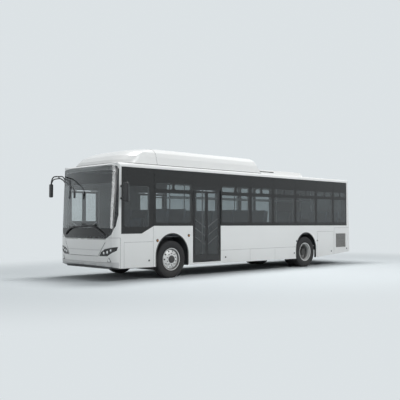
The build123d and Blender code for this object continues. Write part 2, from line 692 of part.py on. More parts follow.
# columns: place, foot
STANCHIONS = ((2560, FLOOR_TOP_Z), (1240, FLOOR_TOP_Z), (460, FLOOR_TOP_Z), (-300, FLOOR_TOP_Z),
              (-1060, FLOOR_TOP_Z), (-3300, DECK_TOP_Z), (-4250, DECK_TOP_Z))
with BuildPart() as handrails:
    for way in (1, -1):
        rod((STANCHIONS[-1][0], way * RAIL_Y, RAIL_Z), (STANCHIONS[0][0], way * RAIL_Y, RAIL_Z), 17)
        for x, foot in STANCHIONS:
            rod((x, way * RAIL_Y, foot), (x, way * RAIL_Y, CEILING_Z), 17)
handrails.part.label = "handrails"

# Axles
with BuildPart() as front_axle:
    with BuildSketch(Plane.YZ.offset(FRONT_AXLE_X - 55)):
        area(((-940, 445), (-640, 180), (640, 180), (940, 445), (940, 567), (860, 567), (600, 290), (-600, 290),
              (-860, 567), (-940, 567)))
    extrude(amount=110)
    for way in (1, -1):
        rod((FRONT_AXLE_X, way * KINGPIN_Y, 445), (FRONT_AXLE_X, way * KINGPIN_Y, 567), 52)
        rod((FRONT_AXLE_X, way * 450, 285), (FRONT_AXLE_X, way * 450, FLOOR_TOP_Z - FLOOR_T), 50)
    for way in (1, -1):
        rod((FRONT_AXLE_X, way * KINGPIN_Y, 400), (FRONT_AXLE_X, way * KINGPIN_Y, 600), KINGPIN_R + KINGPIN_GAP,
            mode=Mode.SUBTRACT)
front_axle.part.label = "front_axle"


def knuckle(way):
    y = way * KINGPIN_Y
    rod((FRONT_AXLE_X, y, 395), (FRONT_AXLE_X, y, 617), KINGPIN_R)
    for z in (395, 572):
        with BuildSketch(Plane.XY.offset(z)) as lug:
            with Locations((FRONT_AXLE_X, y)):
                Circle(48)
            with Locations((FRONT_AXLE_X, y + way * 40)):
                Rectangle(90, 80)
        extrude(lug.sketch, amount=45)
    box(FRONT_AXLE_X - 45, FRONT_AXLE_X + 45, y + way * 58, y + way * 82, 395, 617)
    rod((FRONT_AXLE_X, y + way * 60, TYRE_R), (FRONT_AXLE_X, way * (WHEEL_Y + 80), TYRE_R), SPINDLE_R)


with BuildPart() as knuckle_left:
    knuckle(1)
knuckle_left.part.label = "knuckle_left"
with BuildPart() as knuckle_right:
    knuckle(-1)
knuckle_right.part.label = "knuckle_right"

REAR_SPINDLE_R = 60
with BuildPart() as rear_axle:
    rod((REAR_AXLE_X, -WHEEL_Y + 30, TYRE_R), (REAR_AXLE_X, WHEEL_Y - 30, TYRE_R), REAR_SPINDLE_R)
    rod((REAR_AXLE_X, -600, TYRE_R), (REAR_AXLE_X, 600, TYRE_R), 90)
    rod((REAR_AXLE_X, -170, TYRE_R), (REAR_AXLE_X, 170, TYRE_R), 185)
    for way in (1, -1):
        rod((REAR_AXLE_X, way * 440, TYRE_R), (REAR_AXLE_X, way * 440, DECK_TOP_Z - DECK_T), 75)
rear_axle.part.label = "rear_axle"

with BuildPart() as drive_unit:
    box(-4300, -3250, -380, 380, 330, DECK_TOP_Z - DECK_T)
    rod((-3260, 0, TYRE_R), (REAR_AXLE_X - 185.5, 0, TYRE_R), 45)
drive_unit.part.label = "drive_unit"

# Wheels, drawn as half sections: distance outboard of the tyre's middle, radius
BARREL = ((118, 303), (104, 303), (100, 289), (64, 287), (30, 262), (-60, 262), (-100, 289), (-104, 303), (-118, 303),
          (-112, 278), (-70, 250), (38, 250), (70, 274), (112, 278))
FRONT_DISC = ((46, 262), (62, 276), (92, 212), (112, 178), (112, 130), (120, 104), (150, 92), (156, 62), (156, 0),
              (84, 0), (84, SPINDLE_R + SPINDLE_GAP), (-20, SPINDLE_R + SPINDLE_GAP), (-20, 100), (70, 112), (94, 132),
              (96, 172), (76, 206))
TYRE = ((99.2, 289.6), (103.2, 304.5), (128, 350), (137.5, 400), (134, 450), (120, 488), (104, 502), (84, 506),
        (-84, 506), (-104, 502), (-120, 488), (-134, 450), (-137.5, 400), (-128, 350), (-103.2, 304.5), (-99.2, 289.6))
TWIN_DISC = ((-98, 276), (-84, 266), (-76, 256), (-150, 150), (-150, 112), (-158, 112), (-158, 176))
TWIN_HUB = ((-320, 120), (40, 105), (52, 70), (52, 0), (-10, 0), (-10, REAR_SPINDLE_R + SPINDLE_GAP),
            (-320, REAR_SPINDLE_R + SPINDLE_GAP))


def wheel_plane_at(x, y):
    return Plane(origin=(x, y, TYRE_R), x_dir=(0, 1, 0), z_dir=(1, 0, 0))


def spin_section(x, y, way, section):
    with BuildSketch(wheel_plane_at(x, y)) as half:
        area([(way * out, radius) for out, radius in section])
    revolve(half.sketch, axis=Axis((x, y, TYRE_R), (0, 1, 0)))


def hand_holes(x, y, z_dir):
    with BuildSketch(Plane(origin=(x, y, TYRE_R), x_dir=(1, 0, 0), z_dir=z_dir)) as holes:
        with PolarLocations(HAND_HOLE_PITCH_R, HAND_HOLES):
            Circle(HAND_HOLE_R)
    extrude(holes.sketch, amount=70, mode=Mode.SUBTRACT)


def front_rim(way):
    y = way * WHEEL_Y
    spin_section(FRONT_AXLE_X, y, way, BARREL)
    spin_section(FRONT_AXLE_X, y, way, FRONT_DISC)
    hand_holes(FRONT_AXLE_X, y + way * 50, (0, way, 0))


def twin(section):
    # the inner wheel of a pair is the outer one turned round
    return [(-TWIN_PITCH - out, radius) for out, radius in section]


def rear_rim(way):
    y = way * WHEEL_Y
    for section in (BARREL, twin(BARREL), TWIN_DISC, twin(TWIN_DISC), TWIN_HUB):
        spin_section(REAR_AXLE_X, y, way, section)
    hand_holes(REAR_AXLE_X, y - way * 190, (0, way, 0))


def front_tyre(way):
    spin_section(FRONT_AXLE_X, way * WHEEL_Y, way, TYRE)


def rear_tyres(way):
    spin_section(REAR_AXLE_X, way * WHEEL_Y, way, TYRE)
    spin_section(REAR_AXLE_X, way * WHEEL_Y, way, twin(TYRE))


with BuildPart() as rim_front_left:
    front_rim(1)
rim_front_left.part.label = "rim_front_left"
with BuildPart() as rim_front_right:
    front_rim(-1)
rim_front_right.part.label = "rim_front_right"
with BuildPart() as rim_rear_left:
    rear_rim(1)
rim_rear_left.part.label = "rim_rear_left"
with BuildPart() as rim_rear_right:
    rear_rim(-1)
rim_rear_right.part.label = "rim_rear_right"
with BuildPart() as tyre_front_left:
    front_tyre(1)
tyre_front_left.part.label = "tyre_front_left"
with BuildPart() as tyre_front_right:
    front_tyre(-1)
tyre_front_right.part.label = "tyre_front_right"
with BuildPart() as tyre_rear_left:
    rear_tyres(1)
tyre_rear_left.part.label = "tyre_rear_left"
with BuildPart() as tyre_rear_right:
    rear_tyres(-1)
tyre_rear_right.part.label = "tyre_rear_right"

# Doors: s runs from the jamb towards the middle of the doorway


def door_arm_length(rear, front):
    leaf = (front - rear) / 2 - POST_S - LEAF_CLEAR - LEAF_MID_GAP
    return (leaf + LEAF_CLEAR - LEAF_OVER) / 2


def door_x(rear, front, end, s):
    return front - s if end > 0 else rear + s


def door_line_y(way):
    return way * (HALF_WIDTH - LEAF_LINE)


def door_arm(way, rear, front, end):
    reach = door_arm_length(rear, front)
    y = door_line_y(way)
    post_x = door_x(rear, front, end, POST_S)
    pivot_x = door_x(rear, front, end, POST_S + reach)
    rod((post_x, y, DOOR_LOW_Z + POST_GAP), (post_x, y, HEADER_LOW_Z - POST_GAP), POST_R)
    for z in (ARM_LOW_Z, ARM_HIGH_Z):
        with BuildSketch(Plane.XY.offset(z)) as arm_plan:
            with Locations(((post_x + pivot_x) / 2, y)):
                SlotCenterToCenter(reach, ARM_W)
            with Locations((pivot_x, y)):
                Circle(PIN_R + PIN_GAP, mode=Mode.SUBTRACT)
        extrude(arm_plan.sketch, amount=ARM_T)


def leaf_rect(rear, front, end, low, grow):
    reach = door_arm_length(rear, front)
    tail = door_x(rear, front, end, POST_S + LEAF_CLEAR + STILE - grow)
    lead = door_x(rear, front, end, POST_S + 2 * reach + LEAF_OVER - STILE + grow)
    return tail, lead, low - grow, LEAF_HIGH_Z - LEAF_RAIL_HIGH + grow


def door_leaf(way, rear, front, end, low):
    reach = door_arm_length(rear, front)
    y = door_line_y(way)
    tail_x = door_x(rear, front, end, POST_S + LEAF_CLEAR)
    lead_x = door_x(rear, front, end, POST_S + 2 * reach + LEAF_OVER)
    plane, depth = side_cut(way, LEAF_OUT, LEAF_OUT + LEAF_T)
    with BuildSketch(plane) as panel:
        span_rect(tail_x, lead_x, LEAF_LOW_Z, LEAF_HIGH_Z)
        span_rect(*leaf_rect(rear, front, end, low, 0), mode=Mode.SUBTRACT)
    extrude(panel.sketch, amount=depth)
    plane, depth = side_cut(way, LEAF_OUT, LEAF_OUT + GLASS_T)
    with BuildSketch(plane) as rebate:
        span_rect(*leaf_rect(rear, front, end, low, LEAF_REBATE))
    extrude(rebate.sketch, amount=depth, mode=Mode.SUBTRACT)
    pivot_x = door_x(rear, front, end, POST_S + reach)
    guide_x = door_x(rear, front, end, POST_S + 2 * reach)
    rod((pivot_x, y, ARM_LOW_Z), (pivot_x, y, LEAF_LOW_Z + 2), PIN_R)
    rod((pivot_x, y, LEAF_HIGH_Z - 2), (pivot_x, y, ARM_HIGH_Z + ARM_T), PIN_R)
    rod((guide_x, y, LEAF_HIGH_Z - 2), (guide_x, y, GUIDE_TOP_Z), PIN_R)


def door_pane(way, rear, front, end, low):
    plane, depth = side_cut(way, LEAF_OUT, LEAF_OUT + GLASS_T)
    with BuildSketch(plane) as glass:
        span_rect(*leaf_rect(rear, front, end, low, LEAF_REBATE))
    extrude(glass.sketch, amount=depth)


with BuildPart() as door_headers:
    for name, way, rear, front, glass_low in DOORS:
        plane, depth = side_cut(way, 8, 66)
        with BuildSketch(plane):
            span_rect(rear, front, HEADER_LOW_Z, DOOR_HIGH_Z)
        extrude(amount=depth)
        y = door_line_y(way)
        box(rear + POST_S + 38, front - POST_S - 38, y - SLOT_HALF, y + SLOT_HALF, HEADER_LOW_Z,
            HEADER_LOW_Z + SLOT_DEPTH, mode=Mode.SUBTRACT)
door_headers.part.label = "door_headers"

nodes = [floor, left_wall, right_wall, roof, front_mask, front_bumper, windscreen, side_glass, rear_wall, rear_glass,
         roof_fairing, battery_block, roof_pod, head_lamps, tail_lamps, side_grilles, mirrors, wipers, dashboard,
         steering_wheel, driver_seat, passenger_seats, handrails, front_axle, rear_axle, drive_unit, knuckle_left,
         knuckle_right, rim_front_left, rim_front_right, rim_rear_left, rim_rear_right, tyre_front_left,
         tyre_front_right, tyre_rear_left, tyre_rear_right, front_flap, rear_hatch, door_headers]

for name, way, rear, front, glass_low in DOORS:
    for end, place in ((1, "front"), (-1, "rear")):
        with BuildPart() as arm:
            door_arm(way, rear, front, end)
        arm.part.label = f"{name}_{place}_arm"
        with BuildPart() as leaf:
            door_leaf(way, rear, front, end, glass_low)
        leaf.part.label = f"{name}_{place}_leaf"
        with BuildPart() as pane:
            door_pane(way, rear, front, end, glass_low)
        pane.part.label = f"{name}_{place}_pane"
        nodes += [arm, leaf, pane]

for node in nodes:
    export_step(node.part, f"parts/{node.part.label}.step")
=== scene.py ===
import math

import bpy
from mathutils import Matrix, Vector


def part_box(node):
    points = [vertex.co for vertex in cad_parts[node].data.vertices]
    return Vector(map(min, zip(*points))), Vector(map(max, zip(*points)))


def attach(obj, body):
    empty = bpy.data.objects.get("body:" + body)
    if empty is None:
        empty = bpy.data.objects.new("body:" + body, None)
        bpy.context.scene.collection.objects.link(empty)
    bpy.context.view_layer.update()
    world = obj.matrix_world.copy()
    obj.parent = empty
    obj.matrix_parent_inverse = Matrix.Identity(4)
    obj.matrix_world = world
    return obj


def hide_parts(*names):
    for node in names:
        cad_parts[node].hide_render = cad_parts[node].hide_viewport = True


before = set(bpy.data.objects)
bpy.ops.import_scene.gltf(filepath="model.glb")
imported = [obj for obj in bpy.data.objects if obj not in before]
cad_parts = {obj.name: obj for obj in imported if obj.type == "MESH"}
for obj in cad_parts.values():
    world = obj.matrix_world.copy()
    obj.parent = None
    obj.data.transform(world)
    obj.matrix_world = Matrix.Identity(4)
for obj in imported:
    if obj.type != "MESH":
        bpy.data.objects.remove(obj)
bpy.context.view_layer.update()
bpy.ops.object.select_all(action="DESELECT")
scene = bpy.context.scene
scene.view_settings.view_transform = "Standard"

# Camera. It stands ahead of the bus's left front corner, at about the height of the window sills,
# with a longer lens so that the far end stays nearly as tall as the near one.
CAMERA_PLACE = (14.62, 14.21, 1.55)
CAMERA_AIM = Vector((-0.6929, -0.7202, 0.0328))
camera_data = bpy.data.cameras.new("corner_camera")
camera_data.lens = 57.0
camera_data.sensor_width = 36.0
camera = bpy.data.objects.new("corner_camera", camera_data)
scene.collection.objects.link(camera)
camera.location = CAMERA_PLACE
camera.rotation_euler = CAMERA_AIM.to_track_quat("-Z", "Y").to_euler()
scene.camera = camera

# Studio. A seamless pale blue-grey cove: one flat floor that fades into the backdrop, a large soft
# lamp over the bus, a second one on its left side, a weak one ahead, and a narrow upright strip of light.
COVE_COLOUR = (0.718, 0.763, 0.785, 1.0)
FLOOR_COLOUR = (0.700, 0.745, 0.765, 1.0)
FLOOR_WIDE = 160.0
FADE_NEAR = 4.5
FADE_FAR = 9.0
FADE_SQUEEZE = (0.62, 1.0, 1.0)
SKY_COLOUR = (0.93, 0.97, 1.0, 1.0)
SKY_STRENGTH = 0.27
# columns: name, place, aim, width, depth, power
LAMPS = (
    ("top_lamp", (-0.8, -1.2, 16.0), (0.0, 0.0, 0.0), 7.0, 4.0, 1750.0),
    ("left_lamp", (-2.0, 16.0, 13.0), (0.0, 0.0, 1.5), 12.0, 6.0, 1500.0),
    ("strip_lamp", (18.55, -7.57, 4.35), (5.1, 1.10, 2.1), 0.64, 3.9, 30.0),
    ("front_lamp", (20.0, -1.0, 4.5), (5.0, 0.0, 1.5), 6.0, 6.0, 270.0),
)


def add_node(tree, kind, values=None, **settings):
    # a shader node with its settings, and with the values of the sockets that nothing feeds
    node = tree.nodes.new("ShaderNode" + kind)
    for key, value in settings.items():
        setattr(node, key, value)
    for socket, value in (values or {}).items():
        node.inputs[socket].default_value = value
    return node


def wire(tree, *wires):
    # each wire: node, its output, node, its input
    for source, out, target, into in wires:
        tree.links.new(source.outputs[out], target.inputs[into])


def seen_rays(tree):
    # 1 for rays from the camera, from a reflection or through glass
    path = add_node(tree, "LightPath")
    direct = add_node(tree, "Math", operation="MAXIMUM")
    seen = add_node(tree, "Math", operation="MAXIMUM")
    wire(tree, (path, "Is Camera Ray", direct, 0), (path, "Is Glossy Ray", direct, 1),
         (direct, 0, seen, 0), (path, "Is Transmission Ray", seen, 1))
    return seen


world = bpy.data.worlds.new("cove")
scene.world = world
world.use_nodes = True
tree = world.node_tree
tree.nodes.clear()
sky_light = add_node(tree, "Background", {"Color": SKY_COLOUR, "Strength": SKY_STRENGTH})
sky_seen = add_node(tree, "Background", {"Color": COVE_COLOUR, "Strength": 1.0})
sky_mix = add_node(tree, "MixShader")
sky_out = add_node(tree, "OutputWorld")
wire(tree, (seen_rays(tree), 0, sky_mix, "Fac"), (sky_light, 0, sky_mix, 1), (sky_seen, 0, sky_mix, 2),
     (sky_mix, 0, sky_out, "Surface"))

for name, place, aim, width, depth, power in LAMPS:
    lamp_data = bpy.data.lights.new(name, "AREA")
    lamp_data.shape = "RECTANGLE"
    lamp_data.size = width
    lamp_data.size_y = depth
    lamp_data.energy = power
    lamp = bpy.data.objects.new(name, lamp_data)
    scene.collection.objects.link(lamp)
    lamp.location = place
    lamp.rotation_euler = (Vector(aim) - Vector(place)).to_track_quat("-Z", "Y").to_euler()

bpy.ops.mesh.primitive_plane_add(size=FLOOR_WIDE, location=(0.0, 0.0, 0.0))
floor_sheet = bpy.context.object
floor_sheet.name = "cove_floor"
floor_paint = bpy.data.materials.new("cove_floor_paint")
floor_paint.use_nodes = True
tree = floor_paint.node_tree
tree.nodes.clear()
floor_matt = add_node(tree, "BsdfDiffuse", {"Color": FLOOR_COLOUR})
floor_glow = add_node(tree, "Emission", {"Color": COVE_COLOUR, "Strength": 1.0})
floor_spot = add_node(tree, "TexCoord")
floor_squeeze = add_node(tree, "Mapping", {"Scale": FADE_SQUEEZE})
floor_reach = add_node(tree, "VectorMath", operation="LENGTH")
floor_fade = add_node(tree, "MapRange", {"From Min": FADE_NEAR, "From Max": FADE_FAR},
                      interpolation_type="SMOOTHSTEP")
floor_share = add_node(tree, "Math", operation="MULTIPLY")
floor_mix = add_node(tree, "MixShader")
floor_out = add_node(tree, "OutputMaterial")
wire(tree, (floor_spot, "Object", floor_squeeze, "Vector"), (floor_squeeze, "Vector", floor_reach, 0),
     (floor_reach, "Value", floor_fade, "Value"), (seen_rays(tree), 0, floor_share, 0),
     (floor_fade, 0, floor_share, 1), (floor_share, 0, floor_mix, "Fac"), (floor_matt, 0, floor_mix, 1),
     (floor_glow, 0, floor_mix, 2), (floor_mix, 0, floor_out, "Surface"))
floor_sheet.data.materials.append(floor_paint)

# Painted shell. Bonded sheet panels on a welded frame, primed and sprayed in a gloss white that is a
# little grey, with a clear coat, faint spray texture and a film of road dust low on the skirts.
COACH_WHITE = (0.800, 0.805, 0.795, 1.0)
DUST = (0.300, 0.285, 0.260, 1.0)
# black print; the side walls also use it as painted shade in their recesses
PRINT_AND_SHADE_BLACK = (0.024, 0.030, 0.033, 1.0)
COAT_ROUGH = 0.06
DUST_ROUGH = 0.6
RELIEF_DEEP = 0.002


def named_group(name, ins, outs):
    group = bpy.data.node_groups.new(name, "ShaderNodeTree")
    for label, value in ins.items():
        socket = group.interface.new_socket(label, in_out="INPUT", socket_type="NodeSocketFloat")
        socket.default_value = value
    for label in outs:
        group.interface.new_socket(label, in_out="OUTPUT", socket_type="NodeSocketFloat")
    return group, group.nodes.new("NodeGroupInput"), group.nodes.new("NodeGroupOutput")


def make_grain_group():
    group, start, end = named_group("surface_grain", {"Scale": 40.0, "Spread": 0.05}, ("Tone", "Height"))
    spot = add_node(group, "TexCoord")
    fine = add_node(group, "TexNoise", {"Detail": 4.0})
    broad = add_node(group, "TexNoise", {"Scale": 1.7, "Detail": 3.0})
    shift = add_node(group, "Math", {1: 0.5}, operation="SUBTRACT")
    sway = add_node(group, "Math", operation="MULTIPLY")
    level = add_node(group, "Math", {1: 1.0}, operation="ADD")
    wire(group, (spot, "Object", fine, "Vector"), (spot, "Object", broad, "Vector"),
         (start, "Scale", fine, "Scale"), (broad, "Fac", shift, 0), (shift, 0, sway, 0),
         (start, "Spread", sway, 1), (sway, 0, level, 0), (level, 0, end, "Tone"),
         (fine, "Fac", end, "Height"))
    return group


def make_film_group():
    group, start, end = named_group("road_film", {"Top": 1.0, "Amount": 0.3}, ("Film",))
    spot = add_node(group, "TexCoord")
    axes = add_node(group, "SeparateXYZ")
    fall = add_node(group, "MapRange", {"From Min": 0.2, "To Min": 1.0, "To Max": 0.0})
    patch = add_node(group, "TexNoise", {"Scale": 2.6, "Detail": 5.0})
    both = add_node(group, "Math", operation="MULTIPLY")
    share = add_node(group, "Math", operation="MULTIPLY", use_clamp=True)
    wire(group, (spot, "Object", axes, 0), (axes, "Z", fall, "Value"), (start, "Top", fall, "From Max"),
         (spot, "Object", patch, "Vector"), (fall, 0, both, 0), (patch, "Fac", both, 1), (both, 0, share, 0),
         (start, "Amount", share, 1), (share, 0, end, "Film"))
    return group


grain_group = make_grain_group()
film_group = make_film_group()


def finish_of(name, colour, rough, metal=0.0, coat=0.0, grain=40.0, spread=0.06, bump=0.05, film=0.25,
              film_top=1.0):
    material = bpy.data.materials.new(name)
    material.use_nodes = True
    tree = material.node_tree
    shader = tree.nodes["Principled BSDF"]
    shader.inputs["Metallic"].default_value = metal
    shader.inputs["Coat Weight"].default_value = coat
    shader.inputs["Coat Roughness"].default_value = COAT_ROUGH
    texture = add_node(tree, "Group", {"Scale": grain, "Spread": spread}, node_tree=grain_group)
    dust = add_node(tree, "Group", {"Top": film_top, "Amount": film}, node_tree=film_group)
    tone = add_node(tree, "VectorMath", {0: colour[:3]}, operation="SCALE", name="tone")
    dirty = add_node(tree, "Mix", {"B": DUST}, data_type="RGBA", name="dirty")
    matt = add_node(tree, "Math", {1: DUST_ROUGH, 2: rough}, operation="MULTIPLY_ADD", use_clamp=True)
    relief = add_node(tree, "Bump", {"Strength": bump, "Distance": RELIEF_DEEP})
    wire(tree, (texture, "Tone", tone, "Scale"), (tone, 0, dirty, "A"), (dust, "Film", dirty, "Factor"),
         (dirty, "Result", shader, "Base Color"), (dust, "Film", matt, 0), (matt, 0, shader, "Roughness"),
         (texture, "Height", relief, "Height"), (relief, "Normal", shader, "Normal"))
    return material


def coach_finish(name):
    return finish_of(name, COACH_WHITE, 0.28, coat=0.5, grain=220.0, spread=0.03, bump=0.02, film=0.18)


def paint(material, *nodes):
    for node in nodes:
        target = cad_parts[node]
        if not target.material_slots:
            target.data.materials.append(material)
        for place in target.material_slots:
            place.material = material


coach_paint = coach_finish("coach_white")
paint(coach_paint, "roof", "front_mask", "front_bumper", "front_flap", "rear_hatch", "roof_fairing",
      "roof_pod")

# Side walls. The same white outside, and black on everything behind the outer skin: print on the glass
# bed, and painted shade on the window edges, the door jambs and the bottoms of the panel seams.
SKIN_Y = 1.2738
wall_paint = coach_finish("wall_white")
tree = wall_paint.node_tree
wall_spot = add_node(tree, "TexCoord")
wall_axes = add_node(tree, "SeparateXYZ")
wall_out = add_node(tree, "Math", operation="ABSOLUTE")
wall_skin = add_node(tree, "Math", {1: SKIN_Y}, operation="GREATER_THAN")
# black behind the outer skin: print on the glass bed, painted shade in the recesses
wall_print_and_shade = add_node(tree, "Mix", {"A": PRINT_AND_SHADE_BLACK}, data_type="RGBA")
wire(tree, (wall_spot, "Object", wall_axes, 0), (wall_axes, "Y", wall_out, 0), (wall_out, 0, wall_skin, 0),
     (wall_skin, 0, wall_print_and_shade, "Factor"), (tree.nodes["dirty"], "Result", wall_print_and_shade, "B"),
     (wall_print_and_shade, "Result", tree.nodes["Principled BSDF"], "Base Color"))
paint(wall_paint, "left_wall", "right_wall")

# Rear wall. The same white outside, and dark moulded trim on the faces that look into the cabin, clipped
# to the frame round the rear glass.
TRIM_GREY = (0.030, 0.034, 0.036, 1.0)
FACES_CABIN = 0.5
rear_paint = coach_finish("rear_white")
tree = rear_paint.node_tree
rear_spot = add_node(tree, "TexCoord")
rear_axes = add_node(tree, "SeparateXYZ")
rear_inside = add_node(tree, "Math", {1: FACES_CABIN}, operation="GREATER_THAN")
rear_pick = add_node(tree, "Mix", {"B": TRIM_GREY}, data_type="RGBA")
wire(tree, (rear_spot, "Normal", rear_axes, 0), (rear_axes, "X", rear_inside, 0),
     (rear_inside, 0, rear_pick, "Factor"), (tree.nodes["dirty"], "Result", rear_pick, "A"),
     (rear_pick, "Result", tree.nodes["Principled BSDF"], "Base Color"))
paint(rear_paint, "rear_wall")

# Glass. Toughened panes bonded flush into the dark band, tinted grey-green, and a clearer laminated
# windscreen with black print along its foot and sides and a dark display strip along its head.
SIDE_TINT = (0.45, 0.49, 0.50, 1.0)
DOOR_TINT = (0.66, 0.69, 0.69, 1.0)
REAR_TINT = (0.030, 0.036, 0.038, 1.0)
SCREEN_TINT = (0.74, 0.78, 0.79, 1.0)
HEADER_GREY = (0.420, 0.445, 0.455, 1.0)
HEADER_LOW_Z = 2.52
COWL_HIGH_Z = 1.36
PRINT_IN_Y = 1.16
GLASS_IOR = 1.58
SMEAR_SCALE = 3.0
HAZE = 0.03
LEAVES = [f"{door}_{end}" for door in ("left_mid", "right_front", "right_mid") for end in ("front", "rear")]


def glass_of(name, tint, smear=0.06, clear=1.0):
    material = bpy.data.materials.new(name)
    material.use_nodes = True
    tree = material.node_tree
    shader = tree.nodes["Principled BSDF"]
    shader.inputs["Transmission Weight"].default_value = clear
    shader.inputs["IOR"].default_value = GLASS_IOR
    shader.inputs["Metallic"].default_value = 0.0
    texture = add_node(tree, "Group", {"Scale": SMEAR_SCALE, "Spread": smear}, node_tree=grain_group)
    tone = add_node(tree, "VectorMath", {0: tint[:3]}, operation="SCALE", name="tone")
    haze = add_node(tree, "Math", {1: HAZE}, operation="MULTIPLY")
    wire(tree, (texture, "Tone", tone, "Scale"), (tone, 0, shader, "Base Color"),
         (texture, "Height", haze, 0), (haze, 0, shader, "Roughness"))
    return material


side_glass = glass_of("tinted_pane", SIDE_TINT)
door_glass = glass_of("door_pane", DOOR_TINT)
paint(side_glass, "side_glass")
paint(glass_of("rear_pane", REAR_TINT), "rear_glass")
for leaf in LEAVES:
    paint(side_glass if leaf.startswith("left") else door_glass, f"{leaf}_pane")

screen_glass = glass_of("printed_screen", SCREEN_TINT, smear=0.04, clear=0.96)
tree = screen_glass.node_tree
screen_spot = add_node(tree, "TexCoord")
screen_axes = add_node(tree, "SeparateXYZ")
screen_head = add_node(tree, "Math", {1: HEADER_LOW_Z}, operation="GREATER_THAN")
screen_foot = add_node(tree, "Math", {1: COWL_HIGH_Z}, operation="LESS_THAN")
screen_out = add_node(tree, "Math", operation="ABSOLUTE")
screen_side = add_node(tree, "Math", {1: PRINT_IN_Y}, operation="GREATER_THAN")
screen_print = add_node(tree, "Math", operation="MAXIMUM")
screen_upper = add_node(tree, "Mix", {"B": HEADER_GREY}, data_type="RGBA")
screen_lower = add_node(tree, "Mix", {"B": PRINT_AND_SHADE_BLACK}, data_type="RGBA")
wire(tree, (screen_spot, "Object", screen_axes, 0), (screen_axes, "Y", screen_out, 0),
     (screen_out, 0, screen_side, 0), (screen_axes, "Z", screen_head, 0), (screen_axes, "Z", screen_foot, 0),
     (screen_side, 0, screen_print, 0), (screen_foot, 0, screen_print, 1),
     (tree.nodes["tone"], 0, screen_upper, "A"), (screen_head, 0, screen_upper, "Factor"),
     (screen_upper, "Result", screen_lower, "A"), (screen_print, 0, screen_lower, "Factor"),
     (screen_lower, "Result", tree.nodes["Principled BSDF"], "Base Color"))
paint(screen_glass, "windscreen")

# Cabin. Grey sheet flooring on the floor plates, moulded grey-blue seat shells, a dark grey moulded
# dashboard and powder-coated steel rails, all seen only through the tinted glass.
FLOOR_GREY = (0.10, 0.104, 0.108, 1.0)
SHELL_BLUE = (0.055, 0.075, 0.105, 1.0)
DASH_GREY = (0.050, 0.052, 0.055, 1.0)
RAIL_GREY = (0.42, 0.43, 0.44, 1.0)
paint(finish_of("floor_sheet", FLOOR_GREY, 0.7, grain=400.0, bump=0.25, film=0.1, film_top=0.9), "floor")
paint(finish_of("seat_shell", SHELL_BLUE, 0.45, grain=500.0, bump=0.15, film=0.05), "passenger_seats")
dash_plastic = finish_of("dash_plastic", DASH_GREY, 0.6, grain=700.0, bump=0.3, film=0.0)
paint(dash_plastic, "dashboard", "steering_wheel")
paint(finish_of("rail_coat", RAIL_GREY, 0.35, metal=0.6, grain=300.0, bump=0.05, film=0.0), "handrails")

# Driver's seat. A sprung pedestal seat with a foam cushion and a tall foam back under woven cloth,
# sewn with a raised rim along each edge.
SEAT_CLOTH = (0.045, 0.060, 0.085, 1.0)
RIM_INSET = 0.045
CROWN_INSET = 0.05
BACK_FOOT = Vector((4.03, 0.65, 0.90))
BACK_LEAN = -0.13


def take(piece):
    # selects this piece alone and makes it the active one
    bpy.ops.object.select_all(action="DESELECT")
    piece.select_set(True)
    bpy.context.view_layer.objects.active = piece


def apply_modifier(piece, kind, **values):
    take(piece)
    modifier = piece.modifiers.new(kind.lower(), kind)
    for key, value in values.items():
        setattr(modifier, key, value)
    bpy.ops.object.modifier_apply(modifier=modifier.name)


def fresh(add, **values):
    # a new primitive, with its place, turn and size put into its mesh
    bpy.ops.object.select_all(action="DESELECT")
    add(**values)
    piece = bpy.context.object
    take(piece)
    bpy.ops.object.transform_apply(location=True, rotation=True, scale=True)
    return piece


def block(name, low, high):
    middle = [(a + b) / 2 for a, b in zip(low, high)]
    size = [abs(b - a) for a, b in zip(low, high)]
    piece = fresh(bpy.ops.mesh.primitive_cube_add, size=1.0, location=middle, scale=size)
    piece.name = name
    return piece


def mount(piece, body, slot, material, *nodes):
    piece.data.materials.clear()
    piece.data.materials.append(material)
    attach(piece, body)
    if nodes:
        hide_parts(*nodes)


def edit_mode():
    bpy.ops.object.mode_set(mode="EDIT")


def object_mode():
    bpy.ops.object.mode_set(mode="OBJECT")


def pick_faces(piece, wanted):
    # leaves edit mode open with only the wanted faces selected
    take(piece)
    edit_mode()
    bpy.ops.mesh.select_mode(type="FACE")
    bpy.ops.mesh.select_all(action="DESELECT")
    object_mode()
    for face in piece.data.polygons:
        face.select = wanted(face)
    edit_mode()


def crowned_pad(name, low, high, axis, rise):
    pad = block(name, low, high)
    pick_faces(pad, lambda face: face.normal[axis] > 0.9)
    bpy.ops.mesh.inset(thickness=RIM_INSET)
    lift = [0.0, 0.0, 0.0]
    lift[axis] = -rise / 2
    bpy.ops.transform.translate(value=lift)
    bpy.ops.mesh.inset(thickness=CROWN_INSET)
    lift[axis] = rise
    bpy.ops.transform.translate(value=lift)
    object_mode()
    apply_modifier(pad, "BEVEL", width=0.012, segments=2)
    apply_modifier(pad, "SUBSURF", levels=2, render_levels=2)
    bpy.ops.object.shade_smooth()
    return pad


seat_cloth = finish_of("seat_cloth", SEAT_CLOTH, 0.85, grain=900.0, spread=0.12, bump=0.6, film=0.0)
cushion = crowned_pad("driver_cushion", (4.02, 0.40, 0.80), (4.42, 0.90, 0.90), 2, 0.018)
mount(cushion, "bus_body", "fabric", seat_cloth, "driver_seat")
backrest = crowned_pad("driver_backrest", (3.985, 0.41, 0.86), (4.075, 0.89, 1.63), 0, 0.02)
backrest.data.transform(Matrix.Translation(BACK_FOOT) @ Matrix.Rotation(BACK_LEAN, 4, "Y")
                        @ Matrix.Translation(-BACK_FOOT))
mount(backrest, "bus_body", "fabric", seat_cloth)
pedestal = block("driver_pedestal", (4.10, 0.50, 0.38), (4.36, 0.80, 0.81))
apply_modifier(pedestal, "BEVEL", width=0.02, segments=3)
mount(pedestal, "bus_body", "black", dash_plastic)

